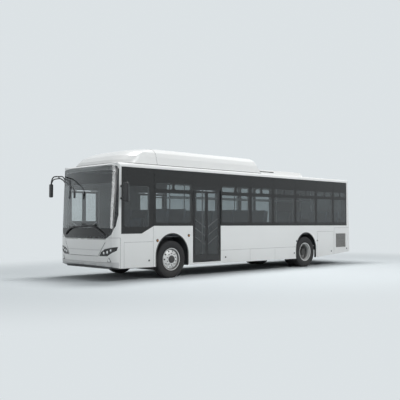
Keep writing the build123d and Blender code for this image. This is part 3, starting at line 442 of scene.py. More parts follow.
# Running gear. Cast and forged steel under a brushed-on black chassis paint, dusty from the road, and
# the battery's case in grey paint under the roof cover.
CHASSIS_BLACK = (0.035, 0.036, 0.038, 1.0)
BATTERY_GREY = (0.25, 0.26, 0.27, 1.0)
chassis_black = finish_of("chassis_black", CHASSIS_BLACK, 0.6, grain=120.0, bump=0.3, film=0.7,
                          film_top=0.9)
paint(chassis_black, "front_axle", "rear_axle", "drive_unit", "knuckle_left", "knuckle_right")
paint(finish_of("battery_grey", BATTERY_GREY, 0.5, grain=150.0, bump=0.1, film=0.0), "battery_block")

# Tyres. Radial bus tyres in black rubber, grained and a little dusty, with four grooves turned into the
# flat tread. The rear ones are twins on one rim.
RUBBER_BLACK = (0.014, 0.014, 0.015, 1.0)
GROOVES = (-0.075, -0.026, 0.026, 0.075)
GROOVE_HALF = 0.006
GROOVE_DEEP = 0.014
TREAD_IN_R = 0.49
TYRE_R = 0.506
FRONT_AXLE_X = 3.210
REAR_AXLE_X = -2.790
HANDS = ((1, "left"), (-1, "right"))
# columns: place, axle, middles of the tyres out from the centre line
TYRES = (("front", FRONT_AXLE_X, (1.112,)), ("rear", REAR_AXLE_X, (1.112, 0.797)))


def node_copy(node, name):
    # leaves edit mode open on a merged copy of a node's mesh
    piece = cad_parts[node].copy()
    piece.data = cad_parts[node].data.copy()
    for key in list(piece.keys()):
        del piece[key]
    piece.parent = None
    piece.name = name
    scene.collection.objects.link(piece)
    take(piece)
    edit_mode()
    bpy.ops.mesh.select_all(action="SELECT")
    bpy.ops.mesh.remove_doubles(threshold=0.00005)
    return piece


def cut(point, facing, **values):
    bpy.ops.mesh.select_all(action="SELECT")
    bpy.ops.mesh.bisect(plane_co=point, plane_no=facing, **values)


def smooth(degrees):
    bpy.ops.object.shade_smooth_by_angle(angle=math.radians(degrees))


def on_tread(face, axle_x):
    out = math.hypot(face.center.x - axle_x, face.center.z - TYRE_R)
    return out >= TREAD_IN_R and abs(face.normal.y) <= 0.5


rubber = finish_of("tyre_rubber", RUBBER_BLACK, 0.75, grain=260.0, spread=0.2, bump=0.4, film=0.10,
                   film_top=1.1)
for place, axle_x, middles in TYRES:
    for side, hand in HANDS:
        node = f"tyre_{place}_{hand}"
        grooves = [side * middle + groove for middle in middles for groove in GROOVES]
        tyre = node_copy(node, f"treaded_{node}")
        for groove in grooves:
            for edge in (-GROOVE_HALF, GROOVE_HALF):
                cut((axle_x, groove + edge, TYRE_R), (0.0, 1.0, 0.0))
        object_mode()
        pick_faces(tyre, lambda face: on_tread(face, axle_x)
                   and any(abs(face.center.y - groove) < GROOVE_HALF for groove in grooves))
        bpy.ops.mesh.extrude_region_move()
        shrink = 1.0 - GROOVE_DEEP / TYRE_R
        bpy.ops.transform.resize(value=(shrink, 1.0, shrink),
                                 center_override=(axle_x, side * middles[0], TYRE_R))
        object_mode()
        smooth(28.0)
        mount(tyre, f"wheel_{place}_{hand}", "rubber", rubber, node)

# Wheels. Pressed steel discs and rims in silver wheel paint with black hubs, painted shade in the well
# behind the front rims' edges and on the rear discs and barrels, painted shade deepening in steps down the
# deep rear dishes, a film of road dust, and ten hexagon nuts with their studs around each hub.
NUT_GREY = (0.32, 0.32, 0.32, 1.0)
RIM_WHITE = (1.0, 1.0, 1.0, 1.0)
RIM_LIP_Y = 1.200
DISH_FLOOR_Y = 0.980
DISH_SHADE = 0.10
DISH_STEPS = 4.0
WARMTH = 0.985
# columns: radius of a ring, and its grey; the hubs are black paint, the dark front ring near the edge and
# the darker rear rings are painted shade
FRONT_RINGS = ((0.085, 0.03), (0.100, 0.10), (0.112, 0.84), (0.250, 0.88), (0.262, 0.16), (0.278, 0.20),
               (0.292, 0.74))
REAR_RINGS = ((0.100, 0.02), (0.118, 0.03), (0.150, 0.08), (0.225, 0.16), (0.245, 0.44), (0.280, 0.52),
              (0.300, 0.74))
NUT_COUNT = 10
NUT_R = 0.0165
NUT_TALL = 0.026
NUT_LIFT = 0.012
STUD_INSET = 0.006
STUD_OUT = 0.012
# columns: place, axle, flange face across, circle of the studs
NUT_RINGS = (("front", FRONT_AXLE_X, 1.224, 0.155), ("rear", REAR_AXLE_X, 0.962, 0.134))


def rim_finish(name, axle_x, bands, dished):
    material = finish_of(name, RIM_WHITE, 0.36, metal=0.05, grain=160.0, bump=0.08, film=0.25)
    tree = material.node_tree
    spot = add_node(tree, "TexCoord")
    centre = add_node(tree, "Mapping", {"Location": (-axle_x, 0.0, -TYRE_R), "Scale": (1.0, 0.0, 1.0)})
    reach = add_node(tree, "VectorMath", operation="LENGTH")
    rings = add_node(tree, "ValToRGB")
    rings.color_ramp.interpolation = "EASE"
    stops = rings.color_ramp.elements
    for place, (radius, grey) in enumerate(bands):
        stop = stops[place] if place < 2 else stops.new(radius)
        stop.position = radius
        stop.color = (grey, grey, grey * WARMTH, 1.0)
    wire(tree, (spot, "Object", centre, "Vector"), (centre, "Vector", reach, 0),
         (reach, "Value", rings, "Fac"), (rings, "Color", tree.nodes["tone"], 0))
    # painted shade in the rear dishes, darker in steps towards the dish floor
    if dished:
        axes = add_node(tree, "SeparateXYZ")
        across = add_node(tree, "Math", operation="ABSOLUTE")
        depth = add_node(tree, "MapRange", {"Steps": DISH_STEPS, "From Min": DISH_FLOOR_Y,
                                            "From Max": RIM_LIP_Y, "To Min": DISH_SHADE},
                         interpolation_type="STEPPED")
        painted_dish_shade = add_node(tree, "VectorMath", operation="SCALE")
        wire(tree, (spot, "Object", axes, 0), (axes, "Y", across, 0), (across, 0, depth, "Value"),
             (rings, "Color", painted_dish_shade, 0), (depth, 0, painted_dish_shade, "Scale"), (painted_dish_shade, 0, tree.nodes["tone"], 0))
    return material


def join_all(pieces, name):
    bpy.ops.object.select_all(action="DESELECT")
    for piece in pieces:
        piece.select_set(True)
    bpy.context.view_layer.objects.active = pieces[0]
    bpy.ops.object.join()
    whole = bpy.context.object
    whole.name = name
    return whole


paint(rim_finish("front_rim_paint", FRONT_AXLE_X, FRONT_RINGS, False), "rim_front_left", "rim_front_right")
paint(rim_finish("rear_rim_paint", REAR_AXLE_X, REAR_RINGS, True), "rim_rear_left", "rim_rear_right")
nut_steel = finish_of("nut_steel", NUT_GREY, 0.35, metal=0.9, grain=300.0, bump=0.1, film=0.3)
for place, axle_x, face_y, ring_r in NUT_RINGS:
    for side, hand in HANDS:
        nuts = []
        for step in range(NUT_COUNT):
            turn = math.tau * (step + 0.5) / NUT_COUNT
            spot = (axle_x + ring_r * math.cos(turn), side * (face_y + NUT_LIFT),
                    TYRE_R + ring_r * math.sin(turn))
            nut = fresh(bpy.ops.mesh.primitive_cylinder_add, vertices=6, radius=NUT_R, depth=NUT_TALL,
                        location=spot, rotation=(math.pi / 2, turn, 0.0))
            pick_faces(nut, lambda face: face.normal.y * side > 0.9)
            bpy.ops.mesh.inset(thickness=STUD_INSET)
            bpy.ops.mesh.extrude_region_move(TRANSFORM_OT_translate={"value": (0.0, side * STUD_OUT, 0.0)})
            object_mode()
            nuts.append(nut)
        ring = join_all(nuts, f"nuts_{place}_{hand}")
        apply_modifier(ring, "BEVEL", width=0.0015, segments=2)
        mount(ring, f"wheel_{place}_{hand}", "steel", nut_steel)

# Doors. Aluminium leaf frames in black coat with bonded panes, turned by posts in the doorway. Three
# slanted grab bars cross the inside of each leaf, and a silver plate with three grooves lies at the sill.
DOOR_BLACK = (0.014, 0.015, 0.016, 1.0)
SILL_SILVER = (0.74, 0.75, 0.75, 1.0)
BAR_COUNT = 3
BAR_R = 0.011
BAR_LOW_Z = 0.87
BAR_HIGH_Z = 1.12
SILL_IN_Y = 1.206
SILL_OUT_Y = 1.2765
SILL_LOW_Z = 0.330
SILL_HIGH_Z = 0.3795
SILL_GROOVES = (0.343, 0.355, 0.367)
SILL_GROOVE_HALF = 0.002
SILL_GROOVE_DEEP = 0.0025
# columns: door, side, rear edge, front edge, bars' place across, rise from one bar to the next
DOORS = (
    ("left_mid", 1, 1.335, 2.450, 1.235, 0.245),
    ("right_front", -1, 3.865, 4.905, 1.213, 0.200),
    ("right_mid", -1, 1.335, 2.450, 1.213, 0.200),
)
door_black = finish_of("door_black", DOOR_BLACK, 0.38, grain=260.0, bump=0.08, film=0.06, film_top=0.8)
for leaf in LEAVES:
    paint(door_black, f"{leaf}_leaf")
    paint(chassis_black, f"{leaf}_arm")
paint(door_black, "door_headers")
grab_coat = finish_of("grab_bar", RAIL_GREY, 0.3, metal=0.5, grain=300.0, bump=0.05, film=0.0)
sill_metal = finish_of("sill_metal", SILL_SILVER, 0.35, metal=0.2, grain=90.0, bump=0.2, film=0.1,
                       film_top=0.6)
for door, side, rear, front, bar_y, pitch in DOORS:
    for end, place in ((1, "front"), (-1, "rear")):
        leaf_low, leaf_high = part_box(f"{door}_{place}_pane")
        outer_x = leaf_high.x if end > 0 else leaf_low.x
        inner_x = leaf_low.x if end > 0 else leaf_high.x
        bars = []
        for step in range(BAR_COUNT):
            start = Vector((outer_x, side * bar_y, BAR_HIGH_Z + step * pitch))
            stop = Vector((inner_x, side * bar_y, BAR_LOW_Z + step * pitch))
            span = stop - start
            bars.append(fresh(bpy.ops.mesh.primitive_cylinder_add, vertices=16, radius=BAR_R,
                              depth=span.length, location=(start + stop) / 2,
                              rotation=span.to_track_quat("Z", "Y").to_euler()))
        grab = join_all(bars, f"{door}_{place}_grab_bars")
        apply_modifier(grab, "BEVEL", width=0.004, segments=2)
        smooth(40.0)
        mount(grab, f"{door}_{place}_leaf", "rail", grab_coat)
    sill = block(f"{door}_sill", (rear, side * SILL_IN_Y, SILL_LOW_Z),
                 (front, side * SILL_OUT_Y, SILL_HIGH_Z))
    apply_modifier(sill, "BEVEL", width=0.004, segments=2)
    edit_mode()
    for groove in SILL_GROOVES:
        for edge in (-SILL_GROOVE_HALF, SILL_GROOVE_HALF):
            cut((rear, 0.0, groove + edge), (0.0, 0.0, 1.0))
    object_mode()
    pick_faces(sill, lambda face: face.normal.y * side > 0.9
               and any(abs(face.center.z - groove) < SILL_GROOVE_HALF for groove in SILL_GROOVES))
    bpy.ops.mesh.extrude_region_move(TRANSFORM_OT_translate={"value": (0.0, -side * SILL_GROOVE_DEEP, 0.0)})
    object_mode()
    mount(sill, "bus_body", "steel", sill_metal)

# Head lamps. Dark almond covers let into the front corners, with three domed lenses in round pockets,
# each in a grey bezel; the lenses are opaque near-white domes, a painted highlight standing for the bright
# reflector behind clear plastic.
COVER_BLACK = (0.012, 0.013, 0.014, 1.0)
LENS_HIGHLIGHT_WHITE = (0.93, 0.94, 0.94, 1.0)
BEZEL_GREY = (0.20, 0.205, 0.21, 1.0)
FRONT_WALL_X = 4.97
FRONT_BOW_R = 6.0
FRONT_REACH = 0.285
WAIST_Z = 1.1
LEAN_BACK = 0.095 / 1.78
UNDER_Z = 0.64
TURN_UNDER = 0.023 / 0.34
DOME_BACK = 0.8
LENS_SUNK = 0.012
LENS_RISE = 0.014
BEZEL_OUT = 0.006
BEZEL_R = 0.005
BEZEL_STRETCH = (1.6, 1.0, 1.0)
# columns: place across, level, radius
LENSES = ((0.865, 0.728, 0.034), (0.985, 0.752, 0.038), (1.105, 0.800, 0.034))


def front_x(y, z):
    # outer face of the bowed front: it leans back above the waist and turns under at its foot
    if z > WAIST_Z:
        reach = FRONT_REACH - LEAN_BACK * (z - WAIST_Z)
    else:
        reach = FRONT_REACH - TURN_UNDER * max(0.0, UNDER_Z - z)
    return FRONT_WALL_X + reach - FRONT_BOW_R + math.sqrt(FRONT_BOW_R ** 2 - y ** 2)


def dome(x, y, z, radius, rise, axis, way):
    # a round cap that bulges one way along an axis, cut flat at its back
    scale = [1.0, 1.0, 1.0]
    scale[axis] = rise / radius
    back = [x, y, z]
    back[axis] -= way * rise * DOME_BACK
    facing = [0.0, 0.0, 0.0]
    facing[axis] = -way
    cap = fresh(bpy.ops.mesh.primitive_uv_sphere_add, segments=24, ring_count=12, radius=radius,
                location=(x, y, z), scale=scale)
    edit_mode()
    cut(back, facing, clear_outer=True, use_fill=True)
    bpy.ops.mesh.select_all(action="SELECT")
    bpy.ops.mesh.normals_make_consistent(inside=False)
    object_mode()
    smooth(50.0)
    return cap


lamp_cover = finish_of("lamp_cover", COVER_BLACK, 0.22, coat=0.15, grain=30.0, spread=0.1, bump=0.0,
                       film=0.05)
paint(lamp_cover, "head_lamps")
# near-white opaque domes: a painted highlight of the reflectors, not a clear lens
lens_highlight = finish_of("lens_highlight", LENS_HIGHLIGHT_WHITE, 0.12, coat=1.0, grain=500.0, bump=0.1, film=0.0)
bezel_grey = finish_of("lamp_bezel", BEZEL_GREY, 0.25, metal=0.6, grain=300.0, bump=0.05, film=0.0)
for side, hand in HANDS:
    lenses = []
    bezels = []
    for y, z, radius in LENSES:
        spot = (front_x(y, z) - LENS_SUNK, side * y, z)
        lenses.append(dome(*spot, radius, LENS_RISE, 0, 1))
        bezels.append(fresh(bpy.ops.mesh.primitive_torus_add, location=spot,
                            rotation=(0.0, math.pi / 2, 0.0), major_radius=radius + BEZEL_OUT,
                            minor_radius=BEZEL_R, major_segments=32, minor_segments=8))
        edit_mode()
        bpy.ops.mesh.select_all(action="SELECT")
        bpy.ops.transform.resize(value=BEZEL_STRETCH, center_override=spot)
        object_mode()
        bpy.ops.object.shade_smooth()
    mount(join_all(lenses, f"head_lamp_lenses_{hand}"), "bus_body", "lamp", lens_highlight)
    mount(join_all(bezels, f"head_lamp_bezels_{hand}"), "bus_body", "steel", bezel_grey)

# Fog lamps. Small three-cornered lamps let into the bumper below the head lamps, each a lens of painted
# highlight in a dark surround.
FOG_Y = 1.060
FOG_Z = 0.545
FOG_DEEP = 0.016
AHEAD_X = 6.0
# columns: part, size, how proud of the bumper, slot, finish
FOG_PARTS = (("surround", 0.080, 0.007, "black", lamp_cover), ("lens", 0.056, 0.011, "lamp", lens_highlight))
for side, hand in HANDS:
    turn = math.asin(side * FOG_Y / FRONT_BOW_R)
    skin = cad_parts["front_bumper"].ray_cast((AHEAD_X, side * FOG_Y, FOG_Z), (-1.0, 0.0, 0.0))[1]
    for label, size, proud, slot, finish in FOG_PARTS:
        fog = fresh(bpy.ops.mesh.primitive_cylinder_add, vertices=3, radius=size, depth=FOG_DEEP,
                    location=(skin.x + proud - FOG_DEEP / 2, side * FOG_Y, FOG_Z),
                    rotation=(math.pi / 2, 0.0, math.pi / 2 + turn))
        fog.name = f"fog_lamp_{label}_{hand}"
        apply_modifier(fog, "BEVEL", width=0.004, segments=3)
        mount(fog, "bus_body", slot, finish)

# Side fittings. Round amber repeaters on black bases beside the front arch, and black rubber plugs over
# the jacking and drain points along the skirt. The right side has a door in place of the first plug.
SHELL_BLACK = (0.016, 0.017, 0.018, 1.0)
AMBER = (0.42, 0.17, 0.03, 1.0)
CAP_FOOT_Y = 1.2735
CAP_SUNK = 0.004
CAP_INSET = 0.3
CAP_CROWN = 0.003
BASE_R = 0.042
BASE_PROUD = 0.008
REPEATER_Y = 1.283
REPEATER_R = 0.030
REPEATER_RISE = 0.010
REPEATER_BACK = 0.006
REPEATER_DOWN = 0.004
PLUG_R = 0.026
PLUG_PROUD = 0.004
REPEATERS = ((3.743, 1.026), (2.608, 1.141))
PLUGS = ((4.029, 0.508), (1.130, 0.482), (-2.264, 0.880), (-2.142, 0.488), (-3.428, 0.872), (-4.258, 0.484),
         (-5.217, 0.550))


def round_cap(x, side, z, radius, proud):
    cap = fresh(bpy.ops.mesh.primitive_cylinder_add, vertices=24, radius=radius, depth=proud + CAP_SUNK,
                location=(x, side * (CAP_FOOT_Y + proud / 2), z), rotation=(math.pi / 2, 0.0, 0.0))
    pick_faces(cap, lambda face: face.normal.y * side > 0.9)
    bpy.ops.mesh.inset(thickness=radius * CAP_INSET)
    bpy.ops.transform.translate(value=(0.0, side * CAP_CROWN, 0.0))
    object_mode()
    apply_modifier(cap, "BEVEL", width=0.0015, segments=2)
    return cap


shell_black = finish_of("shell_black", SHELL_BLACK, 0.32, grain=350.0, bump=0.1, film=0.1)
amber = finish_of("amber_lens", AMBER, 0.15, coat=0.8, grain=400.0, bump=0.2, film=0.1)
for side, hand in HANDS:
    bases = [round_cap(x, side, z, BASE_R, BASE_PROUD) for x, z in REPEATERS]
    mount(join_all(bases, f"repeater_bases_{hand}"), "bus_body", "black", shell_black)
    domes = [dome(x - REPEATER_BACK, side * REPEATER_Y, z - REPEATER_DOWN, REPEATER_R, REPEATER_RISE,
                  1, side) for x, z in REPEATERS]
    mount(join_all(domes, f"repeater_lenses_{hand}"), "bus_body", "lamp", amber)
    plugs = [round_cap(x, side, z, PLUG_R, PLUG_PROUD) for x, z in (PLUGS if side > 0 else PLUGS[1:])]
    mount(join_all(plugs, f"skirt_plugs_{hand}"), "bus_body", "black", shell_black)

# Arch lips. Extruded black rubber with a half-flattened round section, pushed over the cut edge of each
# wheel arch and down to the foot of the skirt.
LIP_BLACK = (0.030, 0.032, 0.033, 1.0)
LIP_R = 0.020
LIP_Y = 1.270
LIP_FLATTEN = (1.0, 0.7, 1.0)
SKIRT_LOW_Z = 0.345
# columns: place, axle, level of the arch's centre, radius of the lip
ARCHES = (("front", FRONT_AXLE_X, 0.620, 0.579), ("rear", REAR_AXLE_X, 0.600, 0.546))
lip_rubber = finish_of("lip_rubber", LIP_BLACK, 0.6, grain=300.0, bump=0.2, film=0.25)
for place, axle_x, arch_z, arch_r in ARCHES:
    for side, hand in HANDS:
        centre = (axle_x, side * LIP_Y, arch_z)
        lip = fresh(bpy.ops.mesh.primitive_torus_add, location=centre, rotation=(math.pi / 2, 0.0, 0.0),
                    major_radius=arch_r, minor_radius=LIP_R, major_segments=72, minor_segments=10)
        lip.name = f"arch_lip_{place}_{hand}"
        edit_mode()
        cut((axle_x, 0.0, arch_z), (0.0, 0.0, -1.0), clear_outer=True, use_fill=True)
        bpy.ops.mesh.select_all(action="SELECT")
        bpy.ops.transform.resize(value=LIP_FLATTEN, center_override=centre)
        object_mode()
        pick_faces(lip, lambda face: face.normal.z < -0.95 and abs(face.center.z - arch_z) < 0.001)
        bpy.ops.mesh.extrude_region_move(TRANSFORM_OT_translate={"value": (0.0, 0.0, SKIRT_LOW_Z - arch_z)})
        object_mode()
        smooth(40.0)
        mount(lip, "bus_body", "rubber", lip_rubber)

# Panel lines. Thin seals that part one panel from the next, grey lines of painted shade along the pressed
# creases, and black strips of painted shade in the louvres and slots: each cut from the panel's own skin, a
# millimetre proud of it, and stuck on.
SEAL_AND_SHADE_BLACK = (0.020, 0.021, 0.022, 1.0)
PAINTED_CREASE_SHADE = (0.58, 0.585, 0.585, 1.0)
STRIP_PROUD = 0.0012
STRIP_THICK = 0.002
OUTER_Y = 1.27
CORNER_CUTS = ((0, 4.9615, 4.9675), (2, SKIRT_LOW_Z, 1.117))
FLAP_LOW_CORNER = (0.680, 0.650)
FLAP_HIGH_CORNER = (0.930, 1.000)
SEAM_WIDE = 0.010
LOUVRE_COUNT = 7
LOUVRE_LOW_Z = 0.74
LOUVRE_PITCH = 0.045
LOUVRE_TALL = 0.020
LOUVRE_IN_Y = 0.24
LOUVRE_OUT_Y = 0.72


def skin_strip(node, name, cuts, wanted, slants=()):
    strip = node_copy(node, name)
    for point, facing in slants:
        cut(point, facing, clear_outer=True)
    for axis, low, high in cuts:
        for level, way in ((low, -1.0), (high, 1.0)):
            point = [0.0, 0.0, 0.0]
            point[axis] = level
            facing = [0.0, 0.0, 0.0]
            facing[axis] = way
            cut(point, facing, clear_outer=True)
    object_mode()
    pick_faces(strip, lambda face: not wanted(face))
    bpy.ops.mesh.delete(type="FACE")
    object_mode()
    apply_modifier(strip, "DISPLACE", strength=STRIP_PROUD, mid_level=0.0)
    apply_modifier(strip, "SOLIDIFY", thickness=STRIP_THICK, offset=-1.0)
    return strip


def faces_front(face):
    return face.normal.x > 0.2


# black for the rubber seals, and painted shade in the louvres and the pod's slot
seal_and_shade_black = finish_of("seal_and_shade_black", SEAL_AND_SHADE_BLACK, 0.55, grain=400.0, bump=0.1, film=0.2)
# grey painted shade for the crease lines and the bumper's turned-under lip
painted_crease_shade = finish_of("painted_crease_shade", PAINTED_CREASE_SHADE, 0.4, grain=300.0, bump=0.05, film=0.1)
# columns: node, body, name, cuts as axis with low and high, faces kept, finish
PANEL_LINES = (
    ("front_flap", "front_flap", "flap_crease", ((2, 0.794, 0.808),), faces_front, painted_crease_shade),
    ("front_mask", "bus_body", "mask_seam", ((2, 1.113, 1.119),),
     lambda face: face.normal.x + abs(face.normal.y) > 0.3 and abs(face.center.y) > 0.97, seal_and_shade_black),
    ("left_wall", "bus_body", "corner_seam_left", CORNER_CUTS,
     lambda face: face.normal.y > 0.9 and face.center.y > OUTER_Y, seal_and_shade_black),
    ("right_wall", "bus_body", "corner_seam_right", CORNER_CUTS,
     lambda face: face.normal.y < -0.9 and face.center.y < -OUTER_Y, seal_and_shade_black),
    ("roof_fairing", "bus_body", "fairing_seam", ((0, 3.668, 3.675),),
     lambda face: face.normal.z > 0.1 or abs(face.normal.y) > 0.6, seal_and_shade_black),
    # the seal at the fairing's foot is black rubber, and painted shadow under the fairing's edge as well
    ("roof_fairing", "bus_body", "fairing_seal", ((2, 3.0405, 3.054),),
     lambda face: face.normal.z > 0.05, seal_and_shade_black),
    ("roof_pod", "bus_body", "pod_seal", ((2, 3.0405, 3.052),),
     lambda face: face.normal.z > -0.2, seal_and_shade_black),
    # the pod's slot is a black strip of painted shade standing for the opening
    ("roof_pod", "bus_body", "pod_slot", ((0, -1.390, -0.700), (2, 3.105, 3.135)),
     lambda face: abs(face.normal.y) > 0.5, seal_and_shade_black),
)
for node, body, name, cuts, wanted, finish in PANEL_LINES:
    mount(skin_strip(node, name, cuts, wanted), body, "black", finish)
lean = math.atan2(FLAP_HIGH_CORNER[0] - FLAP_LOW_CORNER[0], FLAP_HIGH_CORNER[1] - FLAP_LOW_CORNER[1])
for side, hand in HANDS:
    inner_edge = (0.0, side * (FLAP_LOW_CORNER[0] - SEAM_WIDE / math.cos(lean)), FLAP_LOW_CORNER[1])
    inward = (0.0, -side * math.cos(lean), math.sin(lean))
    seam = skin_strip("front_flap", f"flap_seam_{hand}", ((2, 0.652, 0.998),), faces_front,
                      slants=((inner_edge, inward),))
    mount(seam, "front_flap", "black", seal_and_shade_black)
# the louvres are black strips of painted shade standing for the gaps between the slats
for side, hand in HANDS:
    ends = sorted((side * LOUVRE_IN_Y, side * LOUVRE_OUT_Y))
    for step in range(LOUVRE_COUNT):
        low = LOUVRE_LOW_Z + step * LOUVRE_PITCH
        louvre = skin_strip("rear_hatch", f"hatch_louvre_{hand}_{step + 1}",
                            ((1, *ends), (2, low, low + LOUVRE_TALL)), lambda face: face.normal.x < -0.5)
        mount(louvre, "rear_hatch", "black", seal_and_shade_black)

# Front bumper. A moulded white panel whose under edge sweeps up towards the middle, and below a pressed
# crease a lip turned under, greyed as painted shade.
UNDER_POINT = (4.970, 0.0, 0.342)
UNDER_FACING = (0.226, 0.0, -0.974)
# the lip is a grey strip of painted shade over the bumper's lower front
lip_skin = skin_strip("front_bumper", "bumper_lip", ((2, 0.300, 0.500),), faces_front,
                      slants=((UNDER_POINT, UNDER_FACING),))
mount(lip_skin, "bus_body", "white_paint", painted_crease_shade)
bumper = node_copy("front_bumper", "swept_bumper")
cut(UNDER_POINT, UNDER_FACING, clear_outer=True, use_fill=True)
object_mode()
smooth(25.0)
mount(bumper, "bus_body", "white_paint", coach_paint, "front_bumper")

# Side grilles. Moulded slats in front of the coolers with a fine upright mesh over them, all in a warm
# grey, dusty.
GRILLE_GREY = (0.34, 0.335, 0.325, 1.0)
MESH_COUNT = 17
MESH_PITCH = 0.034
MESH_HALF = 0.004
MESH_REAR_X = -5.118
MESH_IN_Y = 1.2675
MESH_OUT_Y = 1.2735
MESH_LOW_Z = 0.632
MESH_HIGH_Z = 1.078
grille_grey = finish_of("grille_grey", GRILLE_GREY, 0.5, metal=0.2, grain=200.0, bump=0.1, film=0.3,
                        film_top=1.2)
paint(grille_grey, "side_grilles")
for side, hand in HANDS:
    uprights = []
    for step in range(MESH_COUNT):
        x = MESH_REAR_X + step * MESH_PITCH
        upright = block("upright", (x - MESH_HALF, side * MESH_IN_Y, MESH_LOW_Z),
                        (x + MESH_HALF, side * MESH_OUT_Y, MESH_HIGH_Z))
        apply_modifier(upright, "BEVEL", width=0.0015, segments=1)
        uprights.append(upright)
    mount(join_all(uprights, f"grille_mesh_{hand}"), "bus_body", "black", grille_grey)

# Tail lamps. Upright dark red covers wrapped round the rear corners, moulded in clear-coated plastic,
# with three round lamps, one above the other, behind each.
COVER_RED = (0.060, 0.010, 0.010, 1.0)
LAMP_RED = (0.42, 0.020, 0.018, 1.0)
ROUND_X = -5.428
ROUND_Y = 1.178
ROUND_R = 0.050
ROUND_RISE = 0.014
ROUND_LEVELS = (1.140, 1.290, 1.440)
paint(finish_of("tail_red", COVER_RED, 0.12, coat=0.8, grain=120.0, bump=0.2, film=0.1), "tail_lamps")
lamp_red = finish_of("lamp_red", LAMP_RED, 0.15, coat=0.8, grain=500.0, bump=0.25, film=0.05)
for side, hand in HANDS:
    rounds = [dome(ROUND_X, side * ROUND_Y, z, ROUND_R, ROUND_RISE, 0, -1) for z in ROUND_LEVELS]
    mount(join_all(rounds, f"tail_lamp_rounds_{hand}"), "bus_body", "lamp", lamp_red)

# Wipers. Black steel arms on spindles at the foot of the windscreen, each carrying a long rubber blade
# that lies along the bowed glass.
BLADE_R = 0.025
BLADE_PROUD = 0.018
ARM_R = 0.024
ARM_FOOT_PROUD = 0.012
ARM_KNEE_PROUD = 0.044
ARM_END_PROUD = 0.034
HUB_PROUD = 0.008
HUB_R = 0.030
HUB_RISE = 0.024
# columns: hand, spindle across and level, knee, tip of the blade
WIPERS = (("left", (0.880, 1.200), (0.613, 1.375), (-0.014, 1.465)),
          ("right", (-0.880, 1.200), (-0.682, 1.376), (0.560, 1.431)))


def bent_tube(name, points, radius):
    curve = bpy.data.curves.new(name, "CURVE")
    curve.dimensions = "3D"
    curve.bevel_depth = radius
    curve.bevel_resolution = 3
    curve.use_fill_caps = True
    line = curve.splines.new("NURBS")
    line.points.add(len(points) - 1)
    for point, place in zip(line.points, points):
        point.co = (*place, 1.0)
    line.order_u = 3
    line.use_endpoint_u = True
    tube = bpy.data.objects.new(name, curve)
    scene.collection.objects.link(tube)
    take(tube)
    bpy.ops.object.convert(target="MESH")
    tube = bpy.context.object
    edit_mode()
    bpy.ops.mesh.select_all(action="SELECT")
    bpy.ops.mesh.remove_doubles(threshold=0.0001)
    bpy.ops.mesh.normals_make_consistent(inside=False)
    object_mode()
    smooth(50.0)
    return tube


def on_screen(y, z, proud):
    return Vector((front_x(y, z) + proud, y, z))


wiper_parts = []
for hand, spindle, knee, tip in WIPERS:
    middle = ((knee[0] + tip[0]) / 2, (knee[1] + tip[1]) / 2)
    low = on_screen(*knee, BLADE_PROUD)
    high = on_screen(*tip, BLADE_PROUD)
    bulge = (on_screen(*middle, BLADE_PROUD) * 4 - low - high) / 2
    lift = on_screen((knee[0] + middle[0]) / 2, (knee[1] + middle[1]) / 2, ARM_END_PROUD)
    arm = (on_screen(*spindle, ARM_FOOT_PROUD), on_screen(*knee, ARM_KNEE_PROUD), lift)
    wiper_parts.append(bent_tube(f"wiper_blade_{hand}", (low, bulge, high), BLADE_R))
    wiper_parts.append(bent_tube(f"wiper_arm_{hand}", arm, ARM_R))
    wiper_parts.append(dome(front_x(*spindle) + HUB_PROUD, *spindle, HUB_R, HUB_RISE, 0, 1))
mount(join_all(wiper_parts, "screen_wipers"), "bus_body", "black", shell_black, "wipers")

# Mirrors. Black moulded heads with silvered glass to the rear: the left one close to its pillar on two
# short tubes, the right one hung from a pair of bent tubes, with a small kerb mirror ahead of the glass.
SILVER = (0.75, 0.77, 0.78, 1.0)
LEFT_HEAD = ((4.880, 1.370, 2.030), (4.965, 1.530, 2.525))
RIGHT_HEAD = ((5.293, -1.530, 2.200), (5.368, -1.400, 2.578))
KERB_HEAD = ((5.325, -0.290, 2.150), (5.362, -0.215, 2.335))
GLASS_PROUD = 0.002
GLASS_SUNK = 0.004
GLASS_SIDE = 0.018
GLASS_END = 0.025
LEFT_LEVELS = (2.120, 2.430)
LEFT_TUBE = ((4.950, 1.280), (4.950, 1.330), (4.935, 1.380))
LEFT_TUBE_R = 0.012
LEFT_FOOT_R = 0.026
LEFT_FOOT_PROUD = 0.012
RIGHT_FOOT_R = 0.040
RIGHT_FOOT_PROUD = 0.014
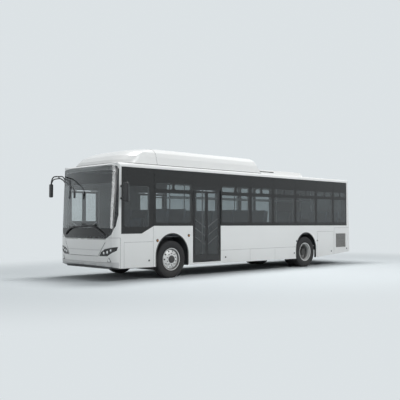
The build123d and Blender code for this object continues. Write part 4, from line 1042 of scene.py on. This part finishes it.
# columns: name, points, radius
RIGHT_TUBES = (
    ("right_tube_high", ((4.955, -1.280, 2.560), (4.970, -1.350, 2.800), (5.140, -1.400, 2.800),
                         (5.320, -1.460, 2.780), (5.332, -1.465, 2.560)), 0.017),
    ("right_tube_low", ((4.955, -1.280, 2.520), (4.985, -1.380, 2.735), (5.140, -1.420, 2.740),
                        (5.300, -1.465, 2.700), (5.320, -1.465, 2.560)), 0.015),
    ("kerb_tube", ((5.150, -1.395, 2.780), (5.300, -1.150, 2.760), (5.335, -0.700, 2.600),
                   (5.343, -0.262, 2.420), (5.344, -0.252, 2.310)), 0.016),
)


def mirror_head(low, high):
    head = block("head", low, high)
    apply_modifier(head, "BEVEL", width=0.030, segments=5)
    smooth(50.0)
    return head


def mirror_glass(name, low, high):
    glass = block(name, (low[0] - GLASS_PROUD, low[1] + GLASS_SIDE, low[2] + GLASS_END),
                  (low[0] + GLASS_SUNK, high[1] - GLASS_SIDE, high[2] - GLASS_END))
    apply_modifier(glass, "BEVEL", width=0.0025, segments=3)
    mount(glass, "bus_body", "steel", mirror_silver)


mirror_silver = finish_of("mirror_silver", SILVER, 0.06, metal=1.0, grain=20.0, spread=0.02, bump=0.0,
                          film=0.0)
mirror_parts = [mirror_head(*LEFT_HEAD), mirror_head(*RIGHT_HEAD), mirror_head(*KERB_HEAD)]
for z in LEFT_LEVELS:
    mirror_parts.append(round_cap(4.950, 1, z, LEFT_FOOT_R, LEFT_FOOT_PROUD))
    mirror_parts.append(bent_tube("left_tube", [(x, y, z) for x, y in LEFT_TUBE], LEFT_TUBE_R))
mirror_parts.append(round_cap(4.955, -1, 2.540, RIGHT_FOOT_R, RIGHT_FOOT_PROUD))
for name, points, radius in RIGHT_TUBES:
    mirror_parts.append(bent_tube(name, points, radius))
mount(join_all(mirror_parts, "mirror_heads"), "bus_body", "black", shell_black, "mirrors")
mirror_glass("left_mirror_glass", *LEFT_HEAD)
mirror_glass("right_mirror_glass", *RIGHT_HEAD)
